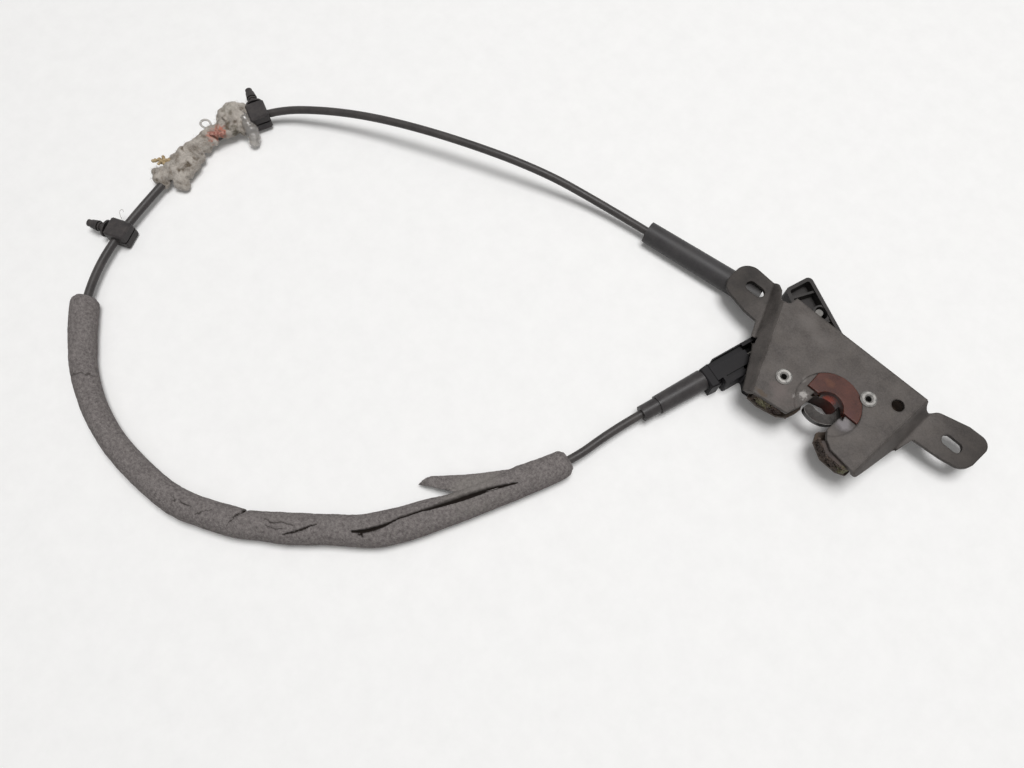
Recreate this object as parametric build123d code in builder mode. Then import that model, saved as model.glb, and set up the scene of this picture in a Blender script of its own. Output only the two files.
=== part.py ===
import os
from math import atan2, cos, degrees, hypot, radians, sin, tan

from build123d import *

# Seat backrest latch with its release cable, lying on its back on a flat surface.
# Millimetres. +Z is up, away from the surface at z = 0. +X runs along the latch from the left ear to
# the right ear. The striker mouth opens towards -Y. The origin is the middle of the latch's footprint.

# Sheet metal and levels
rear_depth = 15.0
back_sheet = 2.0
gap_height = 8.5
front_sheet = 2.5
mount_z = rear_depth
gap_low = mount_z + back_sheet
front_low = gap_low + gap_height
front_top = front_low + front_sheet
bend_radius = 2.6
wall_lean = 0.62
wall_rise_left = 6.4
wall_rise_right = 8.8

# Front plate, seen from the front
top_y = 17.0
left_top_x = -51.1
left_low_x = -28.3
right_top_x = 41.2
right_low_x = 35.5
jaw_left_low_y = -43.6
jaw_right_low_y = -42.7
jaw_left_tip = (-8.2, -40.6)
jaw_right_tip = (20.3, -40.9)

# Ears and their slotted holes
ear_slot_span = 132.4
ear_slot_y = 11.6
ear_slot_length = 12.0
ear_slot_width = 6.5
ear_corner_radius = 9.0
relief_radius = 2.4

# Striker mouth
mouth_x = 5.2
mouth_y = -23.6
throat_radius = 8.5
buffer_wall = 1.8
back_mouth_lip = 0.8
back_jaw_mouth = [(12.4, -38.7), (10.4, -33.6)]
back_jaw_low = [(12.4, -38.7), (20.6, -43.6), (30.6, -43.8)]
dish_x = 4.6
dish_y = -21.5
dish_radius = 17.8
dish_depth = 0.8
mouth_left_low = (-5.2, -32.6)
mouth_right_low = (12.6, -32.6)
mouth_right_flare = (15.6, -37.9)

# Pivots
catch_pivot = (18.3, -4.6)
pawl_pivot = (-21.8, -25.5)
shoulder_radius = 5.0
shank_radius = 3.6
stem_radius = 3.0
rivet_head_radius = 4.5
rivet_head_height = 1.1
rivet_bore_radius = 1.6
collar_height = 1.0
running_gap = 0.05
fit_gap = 0.05
side_gap = 0.3
plain_hole = (31.7, 3.4)
plain_hole_radius = 3.5

# Travel of the mechanism, all tied to the catch
catch_swing = 42.0
pawl_swing = 18.0
lever_swing = 9.0

# Catch and pawl
washer_height = 0.5
catch_sheet = 4.0
catch_low = gap_low + washer_height + side_gap
catch_hub_radius = 9.4
catch_body_radius = 23.3
tooth_radius = 25.2
tooth_gap = 6.0
tooth_width = 17.0
tip_radius = 24.0
strut_width = 6.0
hook_x = 3.2
hook_y = -18.4
hook_outer_radius = 12.9
hook_inner_radius = 7.1
hook_tip_angle = 248.0
jacket_height = 6.6
jacket_outer_radius = 15.5
pawl_hub_radius = 8.2
pin_offset = (-8.0, 7.0)
pin_radius = 2.0
pin_lobe_radius = 4.3

# Springs round the two shoulders
spring_wire = 1.0
spring_turns = 1.5
spring_pitch = 1.05
spring_radius = shoulder_radius + 0.4 + spring_wire / 2

# Release lever behind the back plate
lever_low = 4.0
lever_height = 9.0
lever_hub_radius = 7.5
lever_tip = (-51.9, 34.2)
lever_outline = [
    (-54.3, 26.3),
    (-48.9, 43.5),
    (-11.8, 25.5),
    (22.5, 1.6),
    (14.3, -10.9),
]
lever_ribs = (26.0, 35.0, 44.0, 53.0, 72.5)
lever_rib_width = 1.4
lever_wall = 2.2
lever_floor = 2.0

# Release cable
conduit_diameter = 4.9
wire_radius = 0.8
wire_z = 7.6
nipple_point = (-31.0, 29.5)
wire_angle = 73.7
nipple_radius = 2.5
nipple_height = 5.0
wire_fan = 2.8
ferrule_start = 81.0
ferrule_step = 111.0
ferrule_end = 121.5
ferrule_small_radius = 4.6
ferrule_radius = 5.4
foam_radius = 7.4
felt_radius = 5.8
sleeve_entry = (-137.7, 3.1)
sleeve_angle = 8.1
sleeve_length = 76.0
sleeve_start_radius = 6.6
sleeve_end_radius = 7.2
sleeve_wall = 2.2

catch_x, catch_y = catch_pivot
pawl_x, pawl_y = pawl_pivot
strut_x = catch_x - pawl_x
strut_y = catch_y - pawl_y
pivot_span = hypot(strut_x, strut_y)
contact_radius = tip_radius + strut_width / 2
strut_length = (pivot_span**2 - contact_radius**2) ** 0.5
catch_to_pawl_angle = degrees(atan2(-strut_y, -strut_x)) % 360
contact_angle = catch_to_pawl_angle - degrees(atan2(strut_length, contact_radius))
strut_angle = contact_angle - 90.0
shoulder_angle = contact_angle - tooth_gap


def polar(center, radius, angle):
    """Point at a radius and angle from a centre."""
    return (center[0] + radius * cos(radians(angle)), center[1] + radius * sin(radians(angle)))


def turned(point, center, angle):
    """Point turned about a centre."""
    dx, dy = point[0] - center[0], point[1] - center[1]
    c, s = cos(radians(angle)), sin(radians(angle))
    return (center[0] + dx * c - dy * s, center[1] + dx * s + dy * c)


def along_wire(distance, side=0.0):
    """Point on the release wire's line, a distance back from the nipple and a step to its right."""
    d = radians(wire_angle)
    return (
        nipple_point[0] - distance * cos(d) + side * sin(d),
        nipple_point[1] - distance * sin(d) - side * cos(d),
    )


def finish(piece, name):
    """Label a finished piece and write it out."""
    piece.part.label = name
    export_step(piece.part, f"parts/{name}.step")


os.makedirs("parts", exist_ok=True)


def mouth_outline(inset):
    """Corners of the striker mouth below its round end, narrowed by an inset on both sides."""
    return [
        (mouth_x - throat_radius + inset, mouth_y + 2.0),
        (mouth_left_low[0] + inset, mouth_left_low[1]),
        (jaw_left_tip[0] + inset, jaw_left_tip[1]),
        (jaw_left_tip[0] + inset, jaw_left_tip[1] - 20.0),
        (jaw_right_tip[0] - inset, jaw_right_tip[1] - 20.0),
        (jaw_right_tip[0] - inset, jaw_right_tip[1]),
        (mouth_right_flare[0] - inset, mouth_right_flare[1]),
        (mouth_right_low[0] - inset, mouth_right_low[1]),
        (mouth_x + throat_radius - inset, mouth_y + 2.0),
    ]


# The mounting bracket is one pressing: the front plate, its two leaning walls and the two ears.
wall_drop = front_top - mount_z - front_sheet
wall_run = wall_drop * wall_lean
wall_reach = (front_top - mount_z) * wall_lean + 1.2


def bend_plane(top_x, low_x, low_y, outward):
    """Plane across a bend line, its x pointing outward and its y pointing up."""
    length = hypot(top_x - low_x, top_y - low_y)
    normal = (outward * (top_y - low_y) / length, -outward * (top_x - low_x) / length, 0)
    across = Vector(*normal)
    return Plane(origin=(top_x, top_y, 0), x_dir=across, z_dir=across.cross(Vector(0, 0, 1)))


left_plane = bend_plane(left_top_x, left_low_x, jaw_left_low_y, -1)
right_plane = bend_plane(right_top_x, right_low_x, jaw_right_low_y, 1)
mid_top = front_top - front_sheet / 2
mid_low = mount_z + front_sheet / 2
wall_line = [(-6.0, mid_top), (0.0, mid_top), (wall_run, mid_low), (wall_run + 48.0, mid_low)]

notch_left = [
    (left_top_x + 5.5, top_y - 5.6),
    (left_top_x + 0.9, top_y - 6.6),
]
ear_left = [
    (left_top_x - 2.8, top_y),
    (left_top_x - 7.3, top_y + 4.9),
    (-ear_slot_span / 2 - 15.2, ear_slot_y + 11.8),
    (-ear_slot_span / 2 - 15.8, ear_slot_y - 10.4),
    (-62.2, -3.1),
    (-53.8, -3.6),
]
ear_right = [
    (50.0, -0.6),
    (66.0, 0.7),
    (ear_slot_span / 2 + 14.0, ear_slot_y - 8.2),
    (ear_slot_span / 2 + 16.1, ear_slot_y + 14.8),
    (ear_slot_span / 2 + 1.8, ear_slot_y + 14.6),
    (51.0, 21.6),
    (right_top_x + 5.6, top_y - 1.2),
]
wall_left_low_x = left_low_x - wall_reach
wall_right_low_x = right_low_x + 3.2
bracket_outline = (
    [(left_top_x + 6.4, top_y)]
    + notch_left
    + ear_left
    + [(wall_left_low_x, jaw_left_low_y), (left_low_x, jaw_left_low_y), jaw_left_tip]
    + [jaw_right_tip, (right_low_x, jaw_right_low_y), (wall_right_low_x, jaw_right_low_y)]
    + ear_right
    + [(right_top_x, top_y)]
)

with BuildPart() as mounting_bracket:
    with BuildSketch(Plane.XY.offset(front_low)):
        Polygon(
            (left_top_x, top_y),
            (left_low_x, jaw_left_low_y),
            jaw_left_tip,
            jaw_right_tip,
            (right_low_x, jaw_right_low_y),
            (right_top_x, top_y),
            align=None,
        )
    extrude(amount=front_sheet)
    for plane in (left_plane, right_plane):
        with BuildSketch(plane):
            with BuildLine():
                FilletPolyline(*wall_line, radius=bend_radius)
            trace(line_width=front_sheet)
        extrude(amount=80.0, both=True)
    with BuildSketch(Plane.XY.offset(mount_z - 1)):
        Polygon(*bracket_outline, align=None)
        ear_corners = [ear_left[2], ear_left[3], ear_right[2]]
        for corner in ear_corners:
            fillet(vertices().sort_by_distance(corner)[0], radius=ear_corner_radius)
        fillet(vertices().sort_by_distance(ear_right[3])[0], radius=6.0)
        for corner in [ear_left[1], ear_left[4], ear_right[1], ear_right[5]]:
            fillet(vertices().sort_by_distance(corner)[0], radius=6.0)
        for corner in notch_left:
            fillet(vertices().sort_by_distance(corner)[0], radius=2.0)
        fillet(vertices().sort_by_distance((wall_left_low_x, jaw_left_low_y))[0], radius=3.0)
        fillet(vertices().sort_by_distance((wall_right_low_x, jaw_right_low_y))[0], radius=2.0)
    extrude(amount=front_top - mount_z + 2, mode=Mode.INTERSECT)
    # Lower edges of the walls rise towards the jaws
    for side, rise in ((-1, wall_rise_left), (1, wall_rise_right)):
        with BuildSketch(Plane.YZ):
            Polygon(
                (-3.4, mount_z - 2),
                (-3.4, mount_z + 0.6),
                (jaw_left_low_y, mount_z + rise),
                (jaw_left_low_y - 8, mount_z + rise),
                (jaw_left_low_y - 8, mount_z - 2),
                align=None,
            )
        extrude(amount=side * 100.0, mode=Mode.SUBTRACT)
    # Relief notch where the right bend ends at the top edge
    with BuildSketch(Plane.XY.offset(mount_z - 1)):
        with Locations((right_top_x + 3.4, top_y + 0.4)):
            Circle(relief_radius)
    extrude(amount=front_top - mount_z + 2, mode=Mode.SUBTRACT)
    # Nick in the left wall's edge
    nick_y = -14.5
    nick_x = left_top_x + (top_y - nick_y) * 0.3756 - wall_reach + 1.0
    with BuildSketch(Plane.XY.offset(mount_z - 1)):
        with Locations(Location((nick_x, nick_y), 20.0)):
            Rectangle(3.2, 4.0)
    extrude(amount=wall_drop / 2, mode=Mode.SUBTRACT)
    # Shallow round dish pressed in round the mouth
    with BuildSketch(Plane.XY.offset(front_low - dish_depth)):
        with Locations((dish_x, dish_y)):
            Circle(dish_radius + 0.6)
        with Locations(catch_pivot):
            Circle(spring_radius + spring_wire, mode=Mode.SUBTRACT)
    extrude(amount=dish_depth)
    with BuildSketch(Plane.XY.offset(front_top - dish_depth)):
        with Locations((dish_x, dish_y)):
            Circle(dish_radius)
    extrude(amount=dish_depth, mode=Mode.SUBTRACT)
    # Striker mouth
    with BuildSketch(Plane.XY.offset(front_low - 2)):
        Polygon(*mouth_outline(0.0), align=None)
        with Locations((mouth_x, mouth_y)):
            Circle(throat_radius + buffer_wall)
        with Locations((mouth_x, mouth_y - 12)):
            Rectangle(60, 24, mode=Mode.SUBTRACT)
        Polygon(*mouth_outline(0.0), align=None)
    extrude(amount=front_sheet + 4, mode=Mode.SUBTRACT)
    # Rivet holes, plain hole and ear slots
    with BuildSketch(Plane.XY.offset(mount_z - 1)):
        with Locations(catch_pivot, pawl_pivot):
            Circle(shank_radius + fit_gap)
        with Locations(plain_hole):
            Circle(plain_hole_radius)
        with GridLocations(ear_slot_span, 1, 2, 1):
            with Locations((0, ear_slot_y)):
                SlotOverall(ear_slot_length, ear_slot_width)
    extrude(amount=front_top - mount_z + 2, mode=Mode.SUBTRACT)
finish(mounting_bracket, "mounting_bracket")

# Back plate, flush with the ears' undersides
pin_point = (pawl_x + pin_offset[0], pawl_y + pin_offset[1])
pin_reach = hypot(*pin_offset)
pin_angle = degrees(atan2(pin_offset[1], pin_offset[0]))

with BuildPart() as back_plate:
    with BuildSketch(Plane.XY.offset(mount_z)):
        Polygon(
            (left_top_x + 5.0, top_y - 2.5),
            (left_low_x - 0.5, jaw_left_low_y + 0.6),
            (left_low_x + 6.0, jaw_left_low_y + 0.2),
            (jaw_left_tip[0] - 2.6, jaw_left_tip[1] - 0.2),
            (jaw_left_tip[0] + 1.2, jaw_left_tip[1] + 2.6),
            *back_jaw_low,
            (right_low_x, jaw_right_low_y + 1.0),
            (right_top_x, top_y - 2.5),
            align=None,
        )
        fillet(vertices().sort_by(Axis.X)[0], radius=4.0)
        Polygon(
            *mouth_outline(back_mouth_lip)[:4],
            (back_jaw_mouth[0][0], jaw_right_tip[1] - 20.0),
            *back_jaw_mouth,
            (mouth_right_low[0] - back_mouth_lip, mouth_right_low[1] + 3.0),
            (mouth_x + throat_radius - back_mouth_lip, mouth_y + 2.0),
            align=None,
            mode=Mode.SUBTRACT,
        )
        with Locations((mouth_x, mouth_y)):
            Circle(throat_radius + buffer_wall, mode=Mode.SUBTRACT)
        with Locations(catch_pivot, pawl_pivot):
            Circle(shank_radius + fit_gap, mode=Mode.SUBTRACT)
    extrude(amount=back_sheet)
    with BuildSketch(Plane.XY.offset(mount_z - 1)):
        with Locations(pawl_pivot):
            SlotArc(
                CenterArc((0, 0), pin_reach, pin_angle - 2.0, pawl_swing + 4.0),
                2 * (pin_radius + 2 * side_gap),
            )
    extrude(amount=back_sheet + 2, mode=Mode.SUBTRACT)
finish(back_plate, "back_plate")

# Catch: a flat steel claw that turns on the right rivet and closes the mouth with its hook
hook_middle_radius = (hook_outer_radius + hook_inner_radius) / 2
hook_half = (hook_outer_radius - hook_inner_radius) / 2
hook_center = (hook_x, hook_y)
catch_top = catch_low + catch_sheet

with BuildPart() as catch:
    with BuildSketch(Plane.XY.offset(catch_low)):
        with Locations(catch_pivot):
            Circle(catch_hub_radius)
        # Upper leg and tooth, as sectors about the pivot
        Polygon(
            catch_pivot,
            polar(catch_pivot, catch_body_radius * 1.3, shoulder_angle - tooth_width),
            polar(catch_pivot, catch_body_radius * 1.3, shoulder_angle + 20.0),
            polar(catch_pivot, catch_body_radius * 1.3, 204.0),
            (hook_x, hook_y),
            align=None,
        )
        with Locations(catch_pivot):
            Circle(catch_body_radius, mode=Mode.INTERSECT)
        with BuildSketch(mode=Mode.PRIVATE) as tooth:
            with Locations(catch_pivot):
                Circle(tooth_radius)
            Polygon(
                catch_pivot,
                polar(catch_pivot, 40.0, shoulder_angle - tooth_width),
                polar(catch_pivot, 40.0, shoulder_angle),
                align=None,
                mode=Mode.INTERSECT,
            )
        add(tooth.sketch)
        # Hook round the striker's place
        with BuildSketch(mode=Mode.PRIVATE) as hook:
            with Locations(hook_center):
                Circle(hook_outer_radius)
            Polygon(
                hook_center,
                polar(hook_center, 40.0, hook_tip_angle),
                polar(hook_center, 40.0, 310.0),
                polar(hook_center, 40.0, 380.0),
                polar(hook_center, 40.0, 420.0),
                align=None,
                mode=Mode.INTERSECT,
            )
        add(hook.sketch)
        with Locations(polar(hook_center, hook_middle_radius, hook_tip_angle)):
            Circle(hook_half)
        Polygon(
            polar(hook_center, hook_outer_radius, 335.0),
            (catch_x + catch_hub_radius * 0.8, catch_y - catch_hub_radius * 0.6),
            catch_pivot,
            hook_center,
            align=None,
        )
        # Striker's place, open to the left
        with Locations(hook_center):
            Circle(hook_inner_radius, mode=Mode.SUBTRACT)
        Polygon(
            polar(hook_center, hook_inner_radius, 90.0),
            (hook_x - 30, hook_y + 2.4),
            polar(hook_center, hook_middle_radius, 216.0),
            polar(hook_center, hook_inner_radius, hook_tip_angle),
            align=None,
            mode=Mode.SUBTRACT,
        )
        with Locations(polar(hook_center, hook_middle_radius, hook_tip_angle)):
            Circle(hook_half)
        with Locations(catch_pivot):
            Circle(shoulder_radius + running_gap, mode=Mode.SUBTRACT)
    extrude(amount=catch_sheet)
finish(catch, "catch")

# Plastic jacket moulded on the catch where the striker lands
with BuildPart() as catch_jacket:
    with BuildSketch(Plane.XY.offset(catch_low - 0.2)):
        with Locations((mouth_x, mouth_y)):
            Circle(jacket_outer_radius)
            Circle(throat_radius + 0.5, mode=Mode.SUBTRACT)
            Rectangle(60, 60, align=(Align.CENTER, Align.MAX), mode=Mode.SUBTRACT)
        with Locations(catch_pivot):
            Circle(catch_body_radius - 0.5, mode=Mode.INTERSECT)
            Circle(catch_hub_radius + 0.3, mode=Mode.SUBTRACT)
    extrude(amount=jacket_height)
    fillet(edges().group_by(Axis.Z)[-1], radius=0.8)
    add(catch.part, mode=Mode.SUBTRACT)
finish(catch_jacket, "catch_jacket")

# Pawl: a strut that stands in front of the catch's tooth, with a lobe for its drive pin
with BuildPart() as pawl:
    with BuildSketch(Plane.XY.offset(catch_low)):
        with Locations(pawl_pivot):
            Circle(pawl_hub_radius)
        Polygon(
            turned((pawl_x, pawl_y - 6.5), pawl_pivot, strut_angle),
            turned((pawl_x + strut_length - 8, pawl_y - strut_width / 2), pawl_pivot, strut_angle),
            turned((pawl_x + strut_length, pawl_y - strut_width / 2), pawl_pivot, strut_angle),
            turned((pawl_x + strut_length, pawl_y + strut_width / 2), pawl_pivot, strut_angle),
            turned((pawl_x + strut_length - 8, pawl_y + strut_width / 2 + 1), pawl_pivot, strut_angle),
            turned((pawl_x, pawl_y + 7.5), pawl_pivot, strut_angle),
            align=None,
        )
        with Locations(pin_point):
            Circle(pin_lobe_radius)
        Polygon(
            polar(pin_point, pin_lobe_radius, pin_angle + 90),
            polar(pin_point, pin_lobe_radius, pin_angle - 90),
            polar(pawl_pivot, pawl_hub_radius, pin_angle - 90),
            polar(pawl_pivot, pawl_hub_radius, pin_angle + 90),
            align=None,
        )
        with Locations(pawl_pivot):
            Circle(shoulder_radius + running_gap, mode=Mode.SUBTRACT)
        with Locations(pin_point):
            Circle(pin_radius, mode=Mode.SUBTRACT)
    extrude(amount=catch_sheet)
finish(pawl, "pawl")

# Drive pin pressed into the pawl, reaching down through the back plate into the lever's cam slot
pin_low = lever_low + 3.0
with BuildPart() as pawl_pin:
    with BuildSketch(Plane.XY.offset(pin_low)):
        with Locations(pin_point):
            Circle(pin_radius)
    extrude(amount=catch_top - pin_low)
    chamfer(edges().group_by(Axis.Z)[0], length=0.4)
finish(pawl_pin, "pawl_pin")


# Hollow rivets: a shoulder holds the plates apart, the front end is flared over the plate
def rivet_profile(low_radius, low_z, collar):
    """Half section of a hollow rivet from its rear end to its flared head."""
    return [
        (rivet_bore_radius, low_z),
        (low_radius, low_z),
        (low_radius, mount_z - collar),
        (shoulder_radius - 0.2, mount_z - collar),
        (shoulder_radius - 0.2, mount_z),
        (shank_radius, mount_z),
        (shank_radius, gap_low),
        (shoulder_radius, gap_low),
        (shoulder_radius, front_low),
        (shank_radius, front_low),
        (shank_radius, front_top),
        (rivet_head_radius, front_top),
        (rivet_head_radius, front_top + rivet_head_height * 0.5),
        (rivet_head_radius - 0.8, front_top + rivet_head_height),
        (rivet_bore_radius + 0.9, front_top + rivet_head_height),
        (rivet_bore_radius, front_top + rivet_head_height * 0.3),
    ]


stem_end = 2.4
with BuildPart() as catch_rivet:
    with BuildSketch(Plane.XZ):
        Polygon(*rivet_profile(stem_radius, stem_end, collar_height), align=None)
    revolve(axis=Axis.Z)
catch_rivet.part = catch_rivet.part.moved(Location((catch_x, catch_y, 0)))
finish(catch_rivet, "catch_rivet")

with BuildPart() as pawl_rivet:
    with BuildSketch(Plane.XZ):
        Polygon(*rivet_profile(stem_radius, mount_z - collar_height - 0.6, collar_height), align=None)
    revolve(axis=Axis.Z)
pawl_rivet.part = pawl_rivet.part.moved(Location((pawl_x, pawl_y, 0)))
finish(pawl_rivet, "pawl_rivet")

with BuildPart() as catch_washer:
    with BuildSketch(Plane.XY.offset(gap_low)):
        with Locations(catch_pivot):
            Circle(catch_hub_radius - 0.6)
            Circle(shoulder_radius + fit_gap, mode=Mode.SUBTRACT)
    extrude(amount=washer_height)
finish(catch_washer, "catch_washer")

with BuildPart() as pawl_washer:
    with BuildSketch(Plane.XY.offset(gap_low)):
        with Locations(pawl_pivot):
            Circle(pawl_hub_radius - 0.6)
            Circle(shoulder_radius + fit_gap, mode=Mode.SUBTRACT)
    extrude(amount=washer_height)
finish(pawl_washer, "pawl_washer")


# Torsion springs round the shoulders, between the moving sheet and the front plate
def torsion_spring(name, pivot, start_angle, first_leg, second_leg):
    """Short helical coil with two straight legs in its own plane."""
    spring_low = catch_top + 2 * side_gap + spring_wire / 2
    height = spring_turns * spring_pitch
    with BuildPart() as spring:
        with BuildLine():
            coil = Helix(pitch=spring_pitch, height=height, radius=spring_radius)
        with BuildSketch(Plane(origin=coil @ 0, z_dir=coil % 0)):
            Circle(spring_wire / 2)
        sweep(path=coil, is_frenet=True)
        for end, way, length in ((0, -1, first_leg), (1, 1, second_leg)):
            with BuildSketch(Plane(origin=coil @ end, z_dir=(coil % end) * way)):
                Circle(spring_wire / 2)
            extrude(amount=length)
    spring.part = spring.part.rotate(Axis.Z, start_angle)
    spring.part = spring.part.moved(Location((pivot[0], pivot[1], spring_low)))
    finish(spring, name)


torsion_spring("catch_spring", catch_pivot, 200.0, 8.0, 9.0)
torsion_spring("pawl_spring", pawl_pivot, 300.0, 7.0, 8.0)

# Red-brown buffer clipped into the dish round the mouth's closed end
with BuildPart() as mouth_buffer:
    with BuildSketch(Plane.XY.offset(front_top - dish_depth)):
        with Locations((dish_x, dish_y)):
            Circle(dish_radius - 0.3)
        with Locations((mouth_x, mouth_y + 3.0)):
            Rectangle(60, 60, align=(Align.CENTER, Align.MAX), mode=Mode.SUBTRACT)
        with Locations((-9.6, mouth_y)):
            Rectangle(60, 80, align=(Align.MAX, Align.CENTER), mode=Mode.SUBTRACT)
        with Locations((mouth_x, mouth_y)):
            Circle(throat_radius, mode=Mode.SUBTRACT)
        with Locations(catch_pivot):
            Circle(rivet_head_radius + 0.4, mode=Mode.SUBTRACT)
    extrude(amount=dish_depth + 0.9)
    fillet(edges().group_by(Axis.Z)[-1], radius=0.5)
    with BuildSketch(Plane.XY.offset(front_low - dish_depth - 0.2)):
        with Locations((mouth_x, mouth_y)):
            Circle(throat_radius + buffer_wall - fit_gap)
            Circle(throat_radius, mode=Mode.SUBTRACT)
            Rectangle(60, 60, align=(Align.CENTER, Align.MAX), mode=Mode.SUBTRACT)
        with Locations((mouth_x, mouth_y + 3.0)):
            Rectangle(60, 60, align=(Align.CENTER, Align.MAX), mode=Mode.SUBTRACT)
    extrude(amount=front_top - front_low + 0.2)
finish(mouth_buffer, "mouth_buffer")

# Plastic pieces between the plates at the jaws
liner_low = gap_low
liner_height = gap_height
liner_outline = [
    (12.0, -38.2),
    (20.4, -43.4),
    (30.6, -43.7),
    (34.0, -42.2),
    (33.9, -31.0),
    (31.4, -31.0),
    (31.4, -38.4),
    (24.0, -39.2),
    (16.5, -38.2),
]
with BuildPart() as jaw_liner:
    with BuildSketch(Plane.XY.offset(liner_low)):
        Polygon(*liner_outline, align=None)
        for corner in (liner_outline[0], liner_outline[1], liner_outline[2]):
            fillet(vertices().sort_by_distance(corner)[0], radius=1.0)
    extrude(amount=liner_height)
    # Layer joints round the outer side
    for step in (2.2, 5.0):
        with BuildSketch(Plane.XY.offset(liner_low + step)):
            Polygon(*liner_outline, align=None)
            offset(amount=2.0, kind=Kind.INTERSECTION, mode=Mode.REPLACE)
            with BuildSketch(mode=Mode.PRIVATE) as core:
                Polygon(*liner_outline, align=None)
                offset(amount=-0.5, kind=Kind.INTERSECTION, mode=Mode.REPLACE)
            add(core.sketch, mode=Mode.SUBTRACT)
            with Locations((right_low_x, jaw_right_low_y + 4.4)):
                Rectangle(80, 20, align=(Align.CENTER, Align.MIN), mode=Mode.SUBTRACT)
        extrude(amount=0.5, mode=Mode.SUBTRACT)
finish(jaw_liner, "jaw_liner")

with BuildPart() as pawl_stop:
    with BuildSketch(Plane.XY.offset(gap_low)):
        Polygon(
            (-27.8, jaw_left_low_y + 0.9),
            (-17.4, jaw_left_low_y + 2.3),
            (-17.8, jaw_left_low_y + 8.2),
            (-24.4, jaw_left_low_y + 7.6),
            align=None,
        )
    extrude(amount=gap_height)
    fillet(edges().filter_by(Axis.Z), radius=0.8)
finish(pawl_stop, "pawl_stop")

# Release lever behind the back plate: an open, ribbed arm with the nipple's seat, and a cam arm
lever_top = lever_low + lever_height
lever_dx = lever_tip[0] - catch_x
lever_dy = lever_tip[1] - catch_y
lever_length = hypot(lever_dx, lever_dy)
lever_angle = degrees(atan2(lever_dy, lever_dx))


def on_lever(distance, side):
    """Point along the lever's arm from its pivot, a step to its lower side."""
    return turned((catch_x + distance, catch_y + side), catch_pivot, lever_angle)


def pin_in_lever(share):
    """Place of the drive pin seen from the lever after a share of the travel."""
    point = turned(pin_point, pawl_pivot, share * pawl_swing)
    return turned(point, catch_pivot, -share * lever_swing)


def nipple_in_lever(share):
    """Place of the nipple seen from the lever after a share of the travel."""
    return turned(along_wire(share * wire_stroke), catch_pivot, -share * lever_swing)


swung = turned(nipple_point, catch_pivot, lever_swing)
wire_stroke = (nipple_point[0] - swung[0]) * cos(radians(wire_angle)) + (
    nipple_point[1] - swung[1]
) * sin(radians(wire_angle))
print(f"wire stroke {wire_stroke:.3f} mm")

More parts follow.
